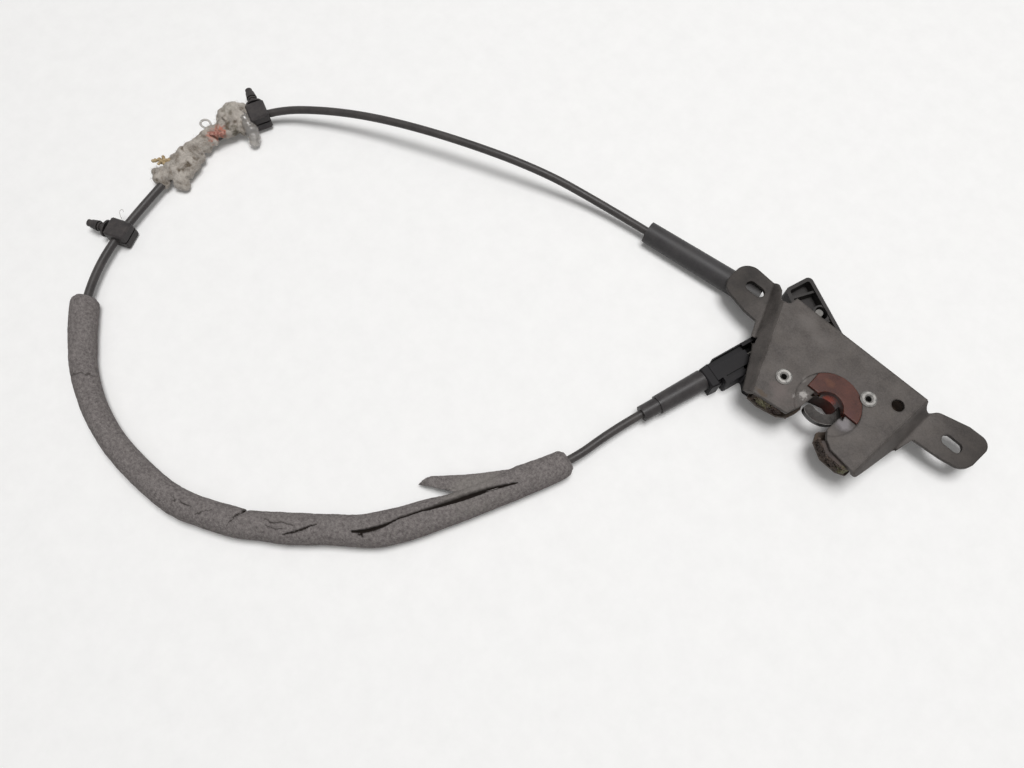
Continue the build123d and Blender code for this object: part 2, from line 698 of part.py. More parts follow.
cam_lobe_radius = 5.0
with BuildPart() as release_lever:
    # Solid outline of the arm
    with BuildSketch(Plane.XY.offset(lever_low)):
        Polygon(*lever_outline, align=None)
        fillet(vertices().sort_by(Axis.X)[0:2], radius=3.0)
        with Locations(catch_pivot):
            Circle(lever_hub_radius)
    extrude(amount=lever_height)
    # Hollow of the arm, open on top
    with BuildSketch(Plane.XY.offset(lever_low + lever_floor)):
        Polygon(*lever_outline, align=None)
        offset(amount=-lever_wall, kind=Kind.INTERSECTION, mode=Mode.REPLACE)
        with Locations(catch_pivot):
            Circle(lever_hub_radius + 6.0, mode=Mode.SUBTRACT)
        fillet(vertices().sort_by(Axis.X)[0:2], radius=1.4)
    extrude(amount=lever_height, mode=Mode.SUBTRACT)
    # Ribs across the hollow
    with BuildSketch(Plane.XY.offset(lever_low + 1.0)):
        Polygon(*lever_outline, align=None)
        offset(amount=-lever_wall / 2, kind=Kind.INTERSECTION, mode=Mode.REPLACE)
        with BuildSketch(mode=Mode.PRIVATE) as ribs:
            for place in lever_ribs:
                with Locations(Location(on_lever(place, 0), lever_angle)):
                    Rectangle(lever_rib_width, 60.0)
        add(ribs.sketch, mode=Mode.INTERSECT)
    extrude(amount=lever_height - 2.4)
    # Block that carries the nipple
    with BuildSketch(Plane.XY.offset(lever_low)):
        with Locations(nipple_in_lever(0.5)):
            Circle(nipple_radius + side_gap + 2.4)
    extrude(amount=lever_height - 0.8)
    # Cam arm down to the pawl's drive pin
    with BuildSketch(Plane.XY.offset(lever_low)):
        with Locations(pin_in_lever(0.0), pin_in_lever(1.0)):
            Circle(cam_lobe_radius)
        Polygon(
            on_lever(30.0, 0.0),
            on_lever(52.0, 0.0),
            polar(pin_in_lever(1.0), cam_lobe_radius, 180.0),
            polar(pin_in_lever(0.0), cam_lobe_radius, 215.0),
            polar(pin_in_lever(0.0), cam_lobe_radius, 350.0),
            align=None,
        )
    extrude(amount=lever_height)
    # Hub stands a little higher than the arm
    with BuildSketch(Plane.XY.offset(lever_low)):
        with Locations(catch_pivot):
            Circle(stem_radius + 3.0)
    extrude(amount=mount_z - collar_height - side_gap - lever_low)
    # Hub bore
    with BuildSketch(Plane.XY.offset(lever_low - 1)):
        with Locations(catch_pivot):
            Circle(stem_radius + running_gap)
    extrude(amount=mount_z, mode=Mode.SUBTRACT)
    # Cam slot that the drive pin runs in
    with BuildSketch(Plane.XY.offset(pin_low - side_gap)):
        with BuildLine():
            Spline(*[pin_in_lever(share) for share in (-0.02, 0.25, 0.5, 0.75, 1.02)])
        trace(line_width=2 * (pin_radius + side_gap))
        with Locations(pin_in_lever(-0.02), pin_in_lever(1.02)):
            Circle(pin_radius + side_gap)
    extrude(amount=lever_height + 1, mode=Mode.SUBTRACT)
    # Seat for the nipple and the way in for the wire
    seat_z = wire_z - nipple_height / 2 - side_gap
    with BuildSketch(Plane.XY.offset(seat_z)):
        with BuildLine():
            Line(nipple_in_lever(-0.04), nipple_in_lever(1.04))
        trace(line_width=2 * (nipple_radius + side_gap))
        with Locations(nipple_in_lever(-0.04), nipple_in_lever(1.04)):
            Circle(nipple_radius + side_gap)
    extrude(amount=lever_height + 4, mode=Mode.SUBTRACT)
    wire_slot = 2 * (wire_radius + 0.7)
    with BuildSketch(Plane.XY.offset(wire_z - wire_slot / 2)):
        Polygon(
            along_wire(0, -wire_slot / 2),
            along_wire(26, -wire_slot / 2 - wire_fan),
            along_wire(26, wire_slot / 2),
            along_wire(0, wire_slot / 2 + wire_fan),
            align=None,
        )
    extrude(amount=lever_height, mode=Mode.SUBTRACT)
finish(release_lever, "release_lever")

# Push-on ring that keeps the lever on its stem
with BuildPart() as lever_retainer:
    with BuildSketch(Plane.XY.offset(lever_low - side_gap - 0.9)):
        with Locations(catch_pivot):
            Circle(stem_radius + 3.2)
            Circle(stem_radius, mode=Mode.SUBTRACT)
            with PolarLocations(stem_radius + 1.0, 3):
                Circle(0.7, mode=Mode.SUBTRACT)
    extrude(amount=0.9)
finish(lever_retainer, "lever_retainer")

# Rear housing: a moulded tray under the back plate with a cradle for the cable's end fitting
tray_floor = 2.0
tray_wall = 2.2
cradle_right = 10.2
cradle_left = 6.4
cradle_end = 72.4
fitting_half_width = 5.6
fitting_low = 1.6
fitting_height = 11.2
collar_low = 0.4
collar_high = 13.4
cradle_top = mount_z - 1.5
tray_outline = [
    (-47.0, 14.0),
    (33.0, 14.0),
    (33.0, -8.0),
    (28.0, -16.0),
    (20.6, -20.0),
    (16.4, -18.4),
    (12.8, -13.9),
    (5.2, -11.5),
    (-2.4, -13.9),
    (-7.0, -18.6),
    (-10.6, -31.0),
    (-15.0, -34.0),
    (-33.0, -35.5),
    along_wire(60.0, cradle_right),
    along_wire(cradle_end, cradle_right),
    along_wire(cradle_end, -cradle_left),
    along_wire(44.0, -cradle_left),
]

with BuildPart() as rear_housing:
    with BuildSketch(Plane.XY):
        Polygon(*tray_outline, align=None)
    extrude(amount=mount_z)
    fillet(edges().filter_by(Axis.Z), radius=1.2)
    with BuildSketch(Plane.XY.offset(tray_floor)):
        Polygon(*tray_outline, align=None)
        offset(amount=-tray_wall, kind=Kind.INTERSECTION, mode=Mode.REPLACE)
    extrude(amount=mount_z, mode=Mode.SUBTRACT)
    # Way out for the lever's arm through the top wall
    with BuildSketch(Plane.XY.offset(tray_floor)):
        Polygon((-49.0, 8.0), (10.0, 8.0), (10.0, 18.0), (-49.0, 18.0), align=None)
    extrude(amount=mount_z, mode=Mode.SUBTRACT)
    # Cradle walls stand a little lower than the tray, clear of the bracket
    with BuildSketch(Plane.XY.offset(cradle_top)):
        Polygon(
            along_wire(80.0, cradle_right + 4),
            along_wire(80.0, -cradle_left - 4),
            along_wire(34.0, -cradle_left - 4),
            along_wire(34.0, -cradle_left + tray_wall + 1),
            along_wire(57.0, -cradle_left + tray_wall + 1),
            along_wire(57.0, cradle_right + 4),
            align=None,
        )
    extrude(amount=5, mode=Mode.SUBTRACT)
    # Rib along the right side of the end fitting
    with BuildSketch(Plane.XY.offset(tray_floor)):
        Polygon(
            along_wire(cradle_end - 1.0, fitting_half_width + fit_gap),
            along_wire(cradle_end - 1.0, fitting_half_width + 2.2),
            along_wire(58.0, fitting_half_width + 2.2),
            along_wire(58.0, fitting_half_width + fit_gap),
            align=None,
        )
    extrude(amount=cradle_top - tray_floor - 2.0)
    # Opening in the lower wall for the end fitting
    with BuildSketch(Plane.XY.offset(fitting_low - fit_gap)):
        Polygon(
            along_wire(80.0, fitting_half_width + fit_gap),
            along_wire(80.0, -fitting_half_width - fit_gap),
            along_wire(52.0 - fit_gap, -fitting_half_width - fit_gap),
            along_wire(52.0 - fit_gap, fitting_half_width + fit_gap),
            align=None,
        )
    extrude(amount=mount_z, mode=Mode.SUBTRACT)
    # Hole below the lever's stem
    with BuildSketch(Plane.XY):
        with Locations(catch_pivot):
            Circle(7.0)
    extrude(amount=tray_floor, mode=Mode.SUBTRACT)
finish(rear_housing, "rear_housing")

# End fitting: the block that snaps into the cradle, with a collar outside it
wire_line = Plane(
    origin=(*along_wire(0), wire_z),
    x_dir=(sin(radians(wire_angle)), -cos(radians(wire_angle)), 0),
    z_dir=(-cos(radians(wire_angle)), -sin(radians(wire_angle)), 0),
)
wire_bore_radius = wire_radius + 0.4
with BuildPart() as end_fitting:
    with BuildSketch(Plane.XY.offset(fitting_low)):
        Polygon(
            along_wire(75.4, fitting_half_width),
            along_wire(75.4, -fitting_half_width),
            along_wire(52.0, -fitting_half_width),
            along_wire(52.0, fitting_half_width),
            align=None,
        )
    extrude(amount=fitting_height)
    # Step lines on top
    with BuildSketch(Plane.XY.offset(fitting_low + fitting_height)):
        Polygon(
            along_wire(75.4, -fitting_half_width + 3.4),
            along_wire(75.4, -fitting_half_width),
            along_wire(52.0, -fitting_half_width),
            along_wire(52.0, -fitting_half_width + 3.4),
            align=None,
        )
    extrude(amount=-2.2, mode=Mode.SUBTRACT)
    # Collar
    with BuildSketch(Plane.XY.offset(collar_low)):
        Polygon(
            along_wire(ferrule_start, 8.0),
            along_wire(ferrule_start, -4.8),
            along_wire(75.4, -5.4),
            along_wire(75.4, 8.4),
            align=None,
        )
    extrude(amount=collar_high)
    chamfer(edges().group_by(Axis.Z)[-1], length=0.8)
    with BuildSketch(wire_line.offset(40.0)):
        Circle(wire_bore_radius)
    extrude(amount=60.0, mode=Mode.SUBTRACT)
finish(end_fitting, "end_fitting")

# Stepped ferrule on the conduit's end
with BuildPart() as near_ferrule:
    with BuildSketch(wire_line.offset(ferrule_start)):
        Circle(ferrule_radius + 0.6)
    with BuildSketch(wire_line.offset(ferrule_step)):
        Circle(ferrule_radius)
    loft()
    with BuildSketch(wire_line.offset(ferrule_step)):
        Circle(ferrule_small_radius)
    extrude(amount=ferrule_end - ferrule_step)
    with BuildSketch(wire_line.offset(ferrule_start)):
        Circle(wire_bore_radius)
    extrude(amount=ferrule_end - ferrule_start, mode=Mode.SUBTRACT)
finish(near_ferrule, "near_ferrule")

# Release wire and the nipple on its end
wire_tail = 98.0
with BuildPart() as release_wire:
    with BuildSketch(wire_line.offset(nipple_radius)):
        Circle(wire_radius)
    extrude(amount=wire_tail - nipple_radius)
    with BuildSketch(Plane.XY.offset(wire_z - nipple_height)):
        with Locations(nipple_point):
            Circle(nipple_radius)
    extrude(amount=2 * nipple_height, mode=Mode.SUBTRACT)
finish(release_wire, "release_wire")

with BuildPart() as release_nipple:
    with BuildSketch(Plane.XY.offset(wire_z - nipple_height / 2)):
        with Locations(nipple_point):
            Circle(nipple_radius)
    extrude(amount=nipple_height)
    chamfer(edges().filter_by(GeomType.CIRCLE), length=0.3)
finish(release_nipple, "release_nipple")

# Far end: a long tapered sleeve under the left ear, with the wire's far nipple in its open end
sleeve_dir = (cos(radians(sleeve_angle)), sin(radians(sleeve_angle)), 0)
sleeve_z = sleeve_end_radius + 0.1
sleeve_plane = Plane(
    origin=(*sleeve_entry, sleeve_z),
    x_dir=(-sin(radians(sleeve_angle)), cos(radians(sleeve_angle)), 0),
    z_dir=sleeve_dir,
)
sleeve_bore = sleeve_end_radius - sleeve_wall
sleeve_mouth_depth = 26.0
far_nipple_radius = 2.6
far_nipple_length = 7.0
far_rest = sleeve_length - 1.2 - wire_stroke

with BuildPart() as far_sleeve:
    with BuildSketch(sleeve_plane):
        Circle(sleeve_start_radius)
    with BuildSketch(sleeve_plane.offset(sleeve_length)):
        Circle(sleeve_end_radius)
    loft()
    with BuildSketch(sleeve_plane.offset(sleeve_length - sleeve_mouth_depth)):
        Circle(sleeve_bore)
    extrude(amount=sleeve_mouth_depth, mode=Mode.SUBTRACT)
    with BuildSketch(sleeve_plane):
        Circle(wire_bore_radius)
    extrude(amount=sleeve_length, mode=Mode.SUBTRACT)
finish(far_sleeve, "far_sleeve")

with BuildPart() as far_wire:
    with BuildSketch(sleeve_plane.offset(sleeve_length - sleeve_mouth_depth - 20.0)):
        Circle(wire_radius)
    extrude(amount=far_rest - far_nipple_length - sleeve_length + sleeve_mouth_depth + 20.0)
finish(far_wire, "far_wire")

with BuildPart() as far_nipple:
    with BuildSketch(sleeve_plane.offset(far_rest - far_nipple_length)):
        Circle(far_nipple_radius)
    extrude(amount=far_nipple_length)
    chamfer(edges().filter_by(GeomType.CIRCLE), length=0.5)
finish(far_nipple, "far_nipple")

# The conduit's route from the ferrule round the loop to the far sleeve: straight runs and tangent arcs
route = [
    (*along_wire(ferrule_end), wire_z),
    (*along_wire(ferrule_end + 18.0), wire_z),
    (-75.6, -136.6, 7.5),
    (-98.8, -188.0, 7.5),
    (-123.0, -235.0, 7.5),
    (-175.5, -280.5, 7.5),
    (-219.5, -300.0, 7.5),
    (-278.0, -299.2, 7.5),
    (-330.3, -275.0, 7.5),
    (-359.6, -240.2, 7.2),
    (-372.6, -197.0, 6.8),
    (-381.4, -150.0, 6.6),
    (-373.5, -100.1, 8.0),
    (-331.8, -69.0, 15.5),
    (-279.0, -43.2, 20.0),
    (-213.0, -15.9, 18.0),
    (sleeve_entry[0] - 31.0 * sleeve_dir[0], sleeve_entry[1] - 31.0 * sleeve_dir[1], sleeve_z),
    (*sleeve_entry, sleeve_z),
]


def corner_radius(before, corner, after):
    """Bend radius that leaves a short straight between two neighbouring bends."""
    first = Vector(*corner) - Vector(*before)
    second = Vector(*after) - Vector(*corner)
    turn = radians(first.get_angle(second))
    return 0.45 * min(first.length, second.length) / tan(turn / 2)


corner_radii = [corner_radius(*route[i - 1 : i + 2]) for i in range(1, len(route) - 1)]
print("bend radii", [round(radius) for radius in corner_radii])
with BuildLine() as conduit_line:
    FilletPolyline(*route, radius=corner_radii)
conduit_path = conduit_line.wire()
conduit_length = conduit_path.length

with BuildPart() as cable_conduit:
    with BuildSketch(Plane(origin=conduit_path @ 0, z_dir=conduit_path % 0)):
        Circle(conduit_diameter / 2)
    sweep(path=conduit_path)
ideal_volume = 3.14159265 * (conduit_diameter / 2) ** 2 * conduit_length
print(f"conduit {conduit_length:.1f} mm, volume ratio {cable_conduit.part.volume / ideal_volume:.4f}")
finish(cable_conduit, "cable_conduit")


def share_near(point):
    """Share of the conduit's length at the place nearest to a point."""
    steps = [i / 2000 for i in range(2001)]
    return min(steps, key=lambda share: (conduit_path @ share - Vector(*point)).length)


# Foam sleeve over the lower half of the loop
foam_start = share_near((-75.2, -133.9, 7.5))
foam_end = share_near((-346.8, -258.5, 7.5))
foam_path = conduit_path.trim(foam_start, foam_end)
with BuildPart() as foam_sleeve:
    with BuildSketch(Plane(origin=foam_path @ 0, z_dir=foam_path % 0)):
        Circle(foam_radius)
        Circle(conduit_diameter / 2, mode=Mode.SUBTRACT)
    sweep(path=foam_path)
finish(foam_sleeve, "foam_sleeve")

# Felt strip wound round the conduit between the two clips
felt_start = share_near((-374.6, -184.0, 6.8))
felt_end = share_near((-374.8, -111.6, 8.0))
felt_path = conduit_path.trim(felt_start, felt_end)
with BuildPart() as felt_wrap:
    with BuildSketch(Plane(origin=felt_path @ 0, z_dir=felt_path % 0)):
        Circle(felt_radius)
        Circle(conduit_diameter / 2, mode=Mode.SUBTRACT)
    sweep(path=felt_path)
finish(felt_wrap, "felt_wrap")

# Two fastening clips on the conduit, each with a flange and a push-in pin
clip_length = 12.0
clip_width = 13.4
clip_height = 12.6
pin_reach_out = 22.0


def cable_clip(name, place, pin_direction):
    """Block round the conduit with a flanged push-in pin pointing sideways."""
    share = share_near(place)
    middle = conduit_path @ share
    direction = (cos(radians(pin_direction)), sin(radians(pin_direction)), 0)
    out = Plane(origin=(middle.X, middle.Y, middle.Z), x_dir=(0, 0, 1), z_dir=direction)
    with BuildPart() as clip:
        with BuildSketch(out.offset(-clip_width / 2)):
            Rectangle(clip_height, clip_length)
        extrude(amount=clip_width)
        chamfer(edges(), length=1.0)
        with BuildSketch(out.offset(clip_width / 2)):
            Circle(2.2)
        extrude(amount=pin_reach_out - clip_width / 2)
        with BuildSketch(out.offset(clip_width / 2 + 2.4)):
            Ellipse(4.6, 5.4)
        extrude(amount=1.2)
        with BuildSketch(out.offset(pin_reach_out - 7.0)):
            Circle(3.3)
        extrude(amount=4.4, taper=8)
        with BuildSketch(out.offset(pin_reach_out - 8.6)):
            Circle(2.8)
        extrude(amount=1.0)
        with BuildSketch(out.offset(-clip_width / 2)):
            Rectangle(1.2, clip_length)
        extrude(amount=3.0, mode=Mode.SUBTRACT)
        add(cable_conduit.part, mode=Mode.SUBTRACT)
    finish(clip, name)


cable_clip("cable_clip_1", (-367.8, -218.1, 7.0), -155.0)
cable_clip("cable_clip_2", (-372.0, -104.5, 8.0), 158.0)
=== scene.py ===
import math

import bmesh
import bpy
import numpy as np
from mathutils import Matrix, Vector, noise


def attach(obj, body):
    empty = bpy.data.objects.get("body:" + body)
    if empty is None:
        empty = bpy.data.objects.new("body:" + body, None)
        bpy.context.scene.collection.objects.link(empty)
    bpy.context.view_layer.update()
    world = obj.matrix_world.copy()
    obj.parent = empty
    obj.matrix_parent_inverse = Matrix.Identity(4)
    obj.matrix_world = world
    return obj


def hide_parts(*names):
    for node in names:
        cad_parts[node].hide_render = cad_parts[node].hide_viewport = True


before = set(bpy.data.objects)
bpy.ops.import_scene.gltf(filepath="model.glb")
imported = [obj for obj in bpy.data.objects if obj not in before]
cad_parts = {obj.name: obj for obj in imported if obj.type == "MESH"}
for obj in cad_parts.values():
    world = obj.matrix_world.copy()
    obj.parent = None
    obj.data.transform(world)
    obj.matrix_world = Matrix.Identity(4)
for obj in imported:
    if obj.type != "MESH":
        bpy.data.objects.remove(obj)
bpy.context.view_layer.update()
mm = 0.001
print("stage: frame loaded")


# Camera, at the photograph's angle
cameraSetup = dict(
    place=(-0.02255, -0.23475, 0.42944), right=(0.7206, 0.6934, 0.0), up=(-0.6516, 0.6771, 0.342),
    lens=28.125, sensor=36.0,
)


def makeCamera(setup):
    data = bpy.data.cameras.new("latchCamera")
    data.lens = setup["lens"]
    data.sensor_width = setup["sensor"]
    data.clip_start = 0.01
    camera = bpy.data.objects.new("latchCamera", data)
    right = Vector(setup["right"]).normalized()
    up = Vector(setup["up"])
    up = (up - up.dot(right) * right).normalized()
    turn = Matrix((right, up, right.cross(up))).transposed()
    camera.matrix_world = Matrix.Translation(setup["place"]) @ turn.to_4x4()
    bpy.context.scene.collection.objects.link(camera)
    bpy.context.scene.camera = camera


makeCamera(cameraSetup)
bpy.context.scene.view_settings.view_transform = "Standard"


# Cable: the same route as in the part's source
cableSetup = dict(
    diameter=0.0049, length=0.8376,
    route=[
        (-65.10, -87.11, 7.6), (-70.15, -104.39, 7.6), (-75.6, -136.6, 7.5), (-98.8, -188.0, 7.5),
        (-123.0, -235.0, 7.5), (-175.5, -280.5, 7.5), (-219.5, -300.0, 7.5),
        (-278.0, -299.2, 7.5), (-330.3, -275.0, 7.5), (-359.6, -240.2, 7.2),
        (-372.6, -197.0, 6.8), (-381.4, -150.0, 6.6), (-373.5, -100.1, 8.0),
        (-331.8, -69.0, 15.5), (-279.0, -43.2, 20.0), (-213.0, -15.9, 18.0),
        (-168.39, -1.27, 7.3), (-137.7, 3.1, 7.3),
    ],
)


def addObject(name, data):
    made = bpy.data.objects.new(name, data)
    bpy.context.scene.collection.objects.link(made)
    return made


def smoothCurve(name, points, radius, order=3, roundness=6):
    data = bpy.data.curves.new(name, "CURVE")
    data.dimensions = "3D"
    data.resolution_u = 20
    data.bevel_depth = radius
    data.bevel_resolution = roundness
    data.use_fill_caps = True
    spline = data.splines.new("NURBS")
    spline.points.add(len(points) - 1)
    for point, place in zip(spline.points, points):
        point.co = (*(Vector(place) * mm), 1.0)
    spline.order_u = order
    spline.use_endpoint_u = True
    return addObject(name, data)


def linePoints(curve):
    bare = curve.data.copy()
    bare.bevel_depth = 0.0
    probe = bpy.data.objects.new("probe", bare)
    mesh = bpy.data.meshes.new_from_object(probe)
    points = np.array([v.co for v in mesh.vertices]) / mm
    bpy.data.objects.remove(probe)
    return points


cable = smoothCurve("releaseCable", cableSetup["route"], cableSetup["diameter"] / 2)
cableLine = linePoints(cable)
cableRuns = np.linalg.norm(np.diff(cableLine, axis=0), axis=1)
cableSteps = np.concatenate([[0.0], np.cumsum(cableRuns)])
print("stage: cable", round(float(cableSteps[-1]), 1), "mm along its line")


def onCable(distance):
    return np.array([np.interp(distance, cableSteps, cableLine[:, i]) for i in range(3)])


# Point, direction, inner side and top of the cable after a distance along it, in millimetres
def cableAt(distance, reach=1.0):
    run = onCable(distance + reach) - onCable(distance - reach)
    way = run / np.linalg.norm(run)
    side = np.cross(way, (0.0, 0.0, 1.0))
    side /= np.linalg.norm(side)
    return onCable(distance), way, side, np.cross(side, way)


def meshFrom(name, points, faces, smooth=True):
    mesh = bpy.data.meshes.new(name)
    mesh.from_pydata([tuple(Vector(p) * mm) for p in points], [], faces)
    mesh.update()
    if smooth:
        mesh.polygons.foreach_set("use_smooth", [True] * len(mesh.polygons))
    return mesh


def storeMask(mesh, name, values):
    layer = mesh.attributes.new(name, "FLOAT", "POINT")
    layer.data.foreach_set("value", values)


def fractal(place, scale, octaves=3):
    spot = Vector(place) / scale
    return noise.fractal(spot, 0.6, 2.1, octaves, noise_basis="PERLIN_ORIGINAL")


# Foam sleeve: an uneven tube with cracks, a long split and a flap torn from it.
# The shape lists distance along the cable, shift to the inner side and half width.
# A crack is a line of distance, turn from the top and half width, with its depth; cracks are
# painted dark inside as shade.
foamSetup = dict(
    start=49.2, end=412.5, radius=7.4, steps=760, around=100, unevenness=0.2, pitting=0.13,
    crackWobble=1.2, heightShare=0.3, endRound=1.9, endRoundReach=1.6, endSlant=0.3,
    # Each end ring gives share of the radius, sink and painted shade.
    endSlantReach=6.0, endRings=((0.62, 0.2, 0.12), (0.30, 1.4, 0.75)), lowest=0.08,
    shape=[
        (48, 0.1, 6.9), (54, -0.2, 7.7), (68, 0.2, 8.2), (76, 0.4, 8.4), (92, 0.1, 8.3),
        (108, -0.4, 8.2), (118, -0.6, 8.2), (124, -0.2, 8.6), (132, 0.0, 9.2), (148, -0.25, 9.5),
        (156, -0.75, 9.5), (164, -0.6, 8.8), (172, 0.2, 8.3), (180, 0.9, 8.2), (188, 1.1, 8.2),
        (196, 0.9, 8.4), (204, 0.6, 8.4), (212, 0.45, 8.1), (220, 0.3, 7.7), (228, -0.4, 7.6),
        (236, 0.0, 8.0), (252, 0.2, 7.7), (260, -0.45, 7.9), (268, -0.7, 7.6), (284, -0.3, 7.2),
        (300, -0.1, 7.1), (316, -0.65, 6.95), (348, -1.05, 6.85), (372, -0.75, 7.15),
        (380, -0.05, 7.5), (396, 0.25, 7.9), (404, -0.25, 8.0), (412, -0.9, 7.6),
    ],
    cracks=[
        ([(169, -11, 0.5), (164, -10, 0.85), (159, -5, 0.85), (149, 6, 0.45),
          (144, 14, 0.4), (133, 16, 0.5), (124, 17, 0.9), (118, 21, 1.3), (109, 17, 1.6),
          (100, 11, 1.2), (95, 8, 0.85), (86, -3, 0.6), (80, -11, 0.3)], 3.2),
        ([(164, -10, 0.5), (165, -20, 0.5), (164, -30, 0.3)], 1.2),
        ([(262, 6, 0.3), (260, 3, 0.35), (256, 2, 0.2)], 0.8),
        ([(252, -23, 0.2), (248, 1, 0.3), (244, 21, 0.2)], 0.5),
        ([(205, -32, 0.3), (199, -21, 0.5), (194, -6, 0.55), (188, 12, 0.3)], 1.1),
        ([(364, -75, 0.4), (362, -4, 0.5), (359, 60, 0.4)], 0.3),
        ([(227.5, 110, 1.0), (228, 80, 1.2), (229, 50, 0.6), (231, 20, 0.3),
          (234, -25, 0.15)], 1.6),
        ([(216, 24, 0.2), (211, 8, 0.35), (206, 14, 0.3), (200, 4, 0.2)], 0.6),
        ([(214, -4, 0.2), (209, -14, 0.3), (203, -8, 0.2)], 0.5),
        ([(268, 14, 0.2), (265, 2, 0.3), (266, -12, 0.2)], 0.4),
    ],
    flapTop=[
        (-126.3, -199.4, 3.6), (-125.2, -193.5, 5.2), (-119.5, -187.5, 6.6),
        (-108.1, -175.8, 8.4), (-98.4, -164.4, 10.2), (-92.0, -156.0, 9.6), (-86.5, -149.0, 8.8),
    ],
    flapLow=[
        (-126.2, -199.9, 3.2), (-122.1, -197.6, 6.0), (-112.9, -192.5, 8.5),
        (-106.6, -188.6, 10.6), (-97.0, -179.8, 12.2), (-88.8, -168.0, 12.9),
        (-82.5, -156.0, 12.0),
    ],
    flapThickness=2.6, flapSteps=(110, 30), flapArch=0.9, flapLowest=0.3,
)


# Depth of the cracks, and a mask that paints them dark inside as shade
def crackDepthAndShade(cracks, radius, along, turn):
    depth, dark = np.zeros_like(along), np.zeros_like(along)
    for line, deep in cracks:
        widest = max(w for _, _, w in line)
        for (s0, a0, w0), (s1, a1, w1) in zip(line, line[1:]):
            start = np.array([s0, math.radians(a0) * radius])
            run = np.array([s1, math.radians(a1) * radius]) - start
            across = np.stack([along - start[0], turn * radius - start[1]], -1)
            share = np.clip((across @ run) / (run @ run), 0, 1)
            gap = np.linalg.norm(across - share[..., None] * run, axis=-1)
            width = w0 + (w1 - w0) * share
            sunk = deep * np.minimum(1.0, width / (0.55 * widest))
            depth = np.maximum(depth, sunk * np.clip(1.25 - gap / width, 0, 1) ** 0.7)
            shade = np.minimum(1.0, 0.35 + sunk * 0.4)
            dark = np.maximum(dark, np.clip(1.5 - gap / width, 0, 1) * shade)
    return depth, dark


# Shift and half width of the tube at every ring, with the steps between them softened
def softShape(setup, distances, window=15):
    soften = np.hanning(window) / np.hanning(window).sum()
    stops, shifts, widths = np.array(setup["shape"]).T
    for row in (shifts, widths):
        padded = np.pad(np.interp(distances, stops, row), window // 2, mode="edge")
        yield np.convolve(padded, soften, mode="valid")


def foamTube(setup):
    rings, around, radius = setup["steps"] + 1, setup["around"], setup["radius"]
    distances = np.linspace(setup["start"], setup["end"], rings)
    turns = (np.arange(around) / around - 0.5) * 2 * math.pi
    along, turn = np.meshgrid(distances, turns, indexing="ij")
    rough, jitter = np.zeros_like(along), np.zeros_like(along)
    for i in range(rings):
        for j in range(around):
            place = (distances[i], math.cos(turns[j]) * radius, math.sin(turns[j]) * radius)
            rough[i, j] = fractal(place, 14.0, 2)
            jitter[i, j] = fractal(place, 2.2, 3)
    wobble = jitter * setup["crackWobble"]
    depth, dark = crackDepthAndShade(setup["cracks"], radius, along + wobble, turn)
    shift, width = softShape(setup, distances)
    fromEnd = np.minimum(along - setup["start"], setup["end"] - along)
    rounded = setup["endRound"] * np.exp(-((fromEnd / setup["endRoundReach"]) ** 2))
    change = setup["unevenness"] * rough + setup["pitting"] * jitter - depth - rounded
    points, mask = [], []
    for i in range(rings):
        here, way, side, top = cableAt(distances[i])
        high = radius + setup["heightShare"] * (width[i] - radius)
        slant = setup["endSlant"] * np.clip(1 - fromEnd[i, 0] / setup["endSlantReach"], 0, 1)
        for j in range(around):
            lift = math.cos(turn[i, j]) * (high + change[i, j])
            reach = math.sin(turn[i, j]) * (width[i] + change[i, j]) + shift[i]
            lean = slant * math.sin(turn[i, j] + 0.6) * (1 if i < rings / 2 else -1)
            place = here + side * reach + top * lift + way * lean
            place[2] = max(place[2], setup["lowest"])
            points.append(place)
            mask.append(dark[i, j])
    faces = []
    for i in range(rings - 1):
        for j in range(around):
            k = (j + 1) % around
            near, far = i * around, (i + 1) * around
            faces.append((near + j, near + k, far + k, far + j))
    for ring, inward in ((0, 1), (rings - 1, -1)):
        closeEnd(setup, points, faces, mask, cableAt(distances[ring]), turns, ring, inward)
    return points, faces, mask


# An end face runs in to the cable with two rings, painted darker towards the middle as shade
def closeEnd(setup, points, faces, mask, spot, turns, ring, inward):
    here, way = spot[:2]
    around = setup["around"]
    first = ring * around
    last = list(range(first, first + around))
    for share, sink, dark in setup["endRings"]:
        rim = []
        for j, angle in enumerate(turns):
            cell = (share * 9, math.cos(angle) * 4, math.sin(angle) * 4)
            deep = sink * inward + 0.16 * fractal(cell, 2.0)
            rim.append(len(points))
            points.append(here + (points[first + j] - here) * share + way * deep)
            mask.append(dark)
        for j in range(around):
            k = (j + 1) % around
            faces.append((last[j], rim[j], rim[k], last[k])[::inward])
        last = rim
    hub = len(points)
    points.append(here + way * inward * 1.6)
    mask.append(0.9)
    for j in range(around):
        faces.append((last[j], hub, last[(j + 1) % around])[::inward])


def curvePoint(line, share):
    place = share * (len(line) - 1)
    i = min(int(place), len(line) - 2)
    p0, p1 = Vector(line[max(i - 1, 0)]), Vector(line[i])
    p2, p3 = Vector(line[i + 1]), Vector(line[min(i + 2, len(line) - 1)])
    t = place - i
    square, cube = 2 * p0 - 5 * p1 + 4 * p2 - p3, 3 * p1 - p0 - 3 * p2 + p3
    return 0.5 * (2 * p1 + (p2 - p0) * t + square * t ** 2 + cube * t ** 3)


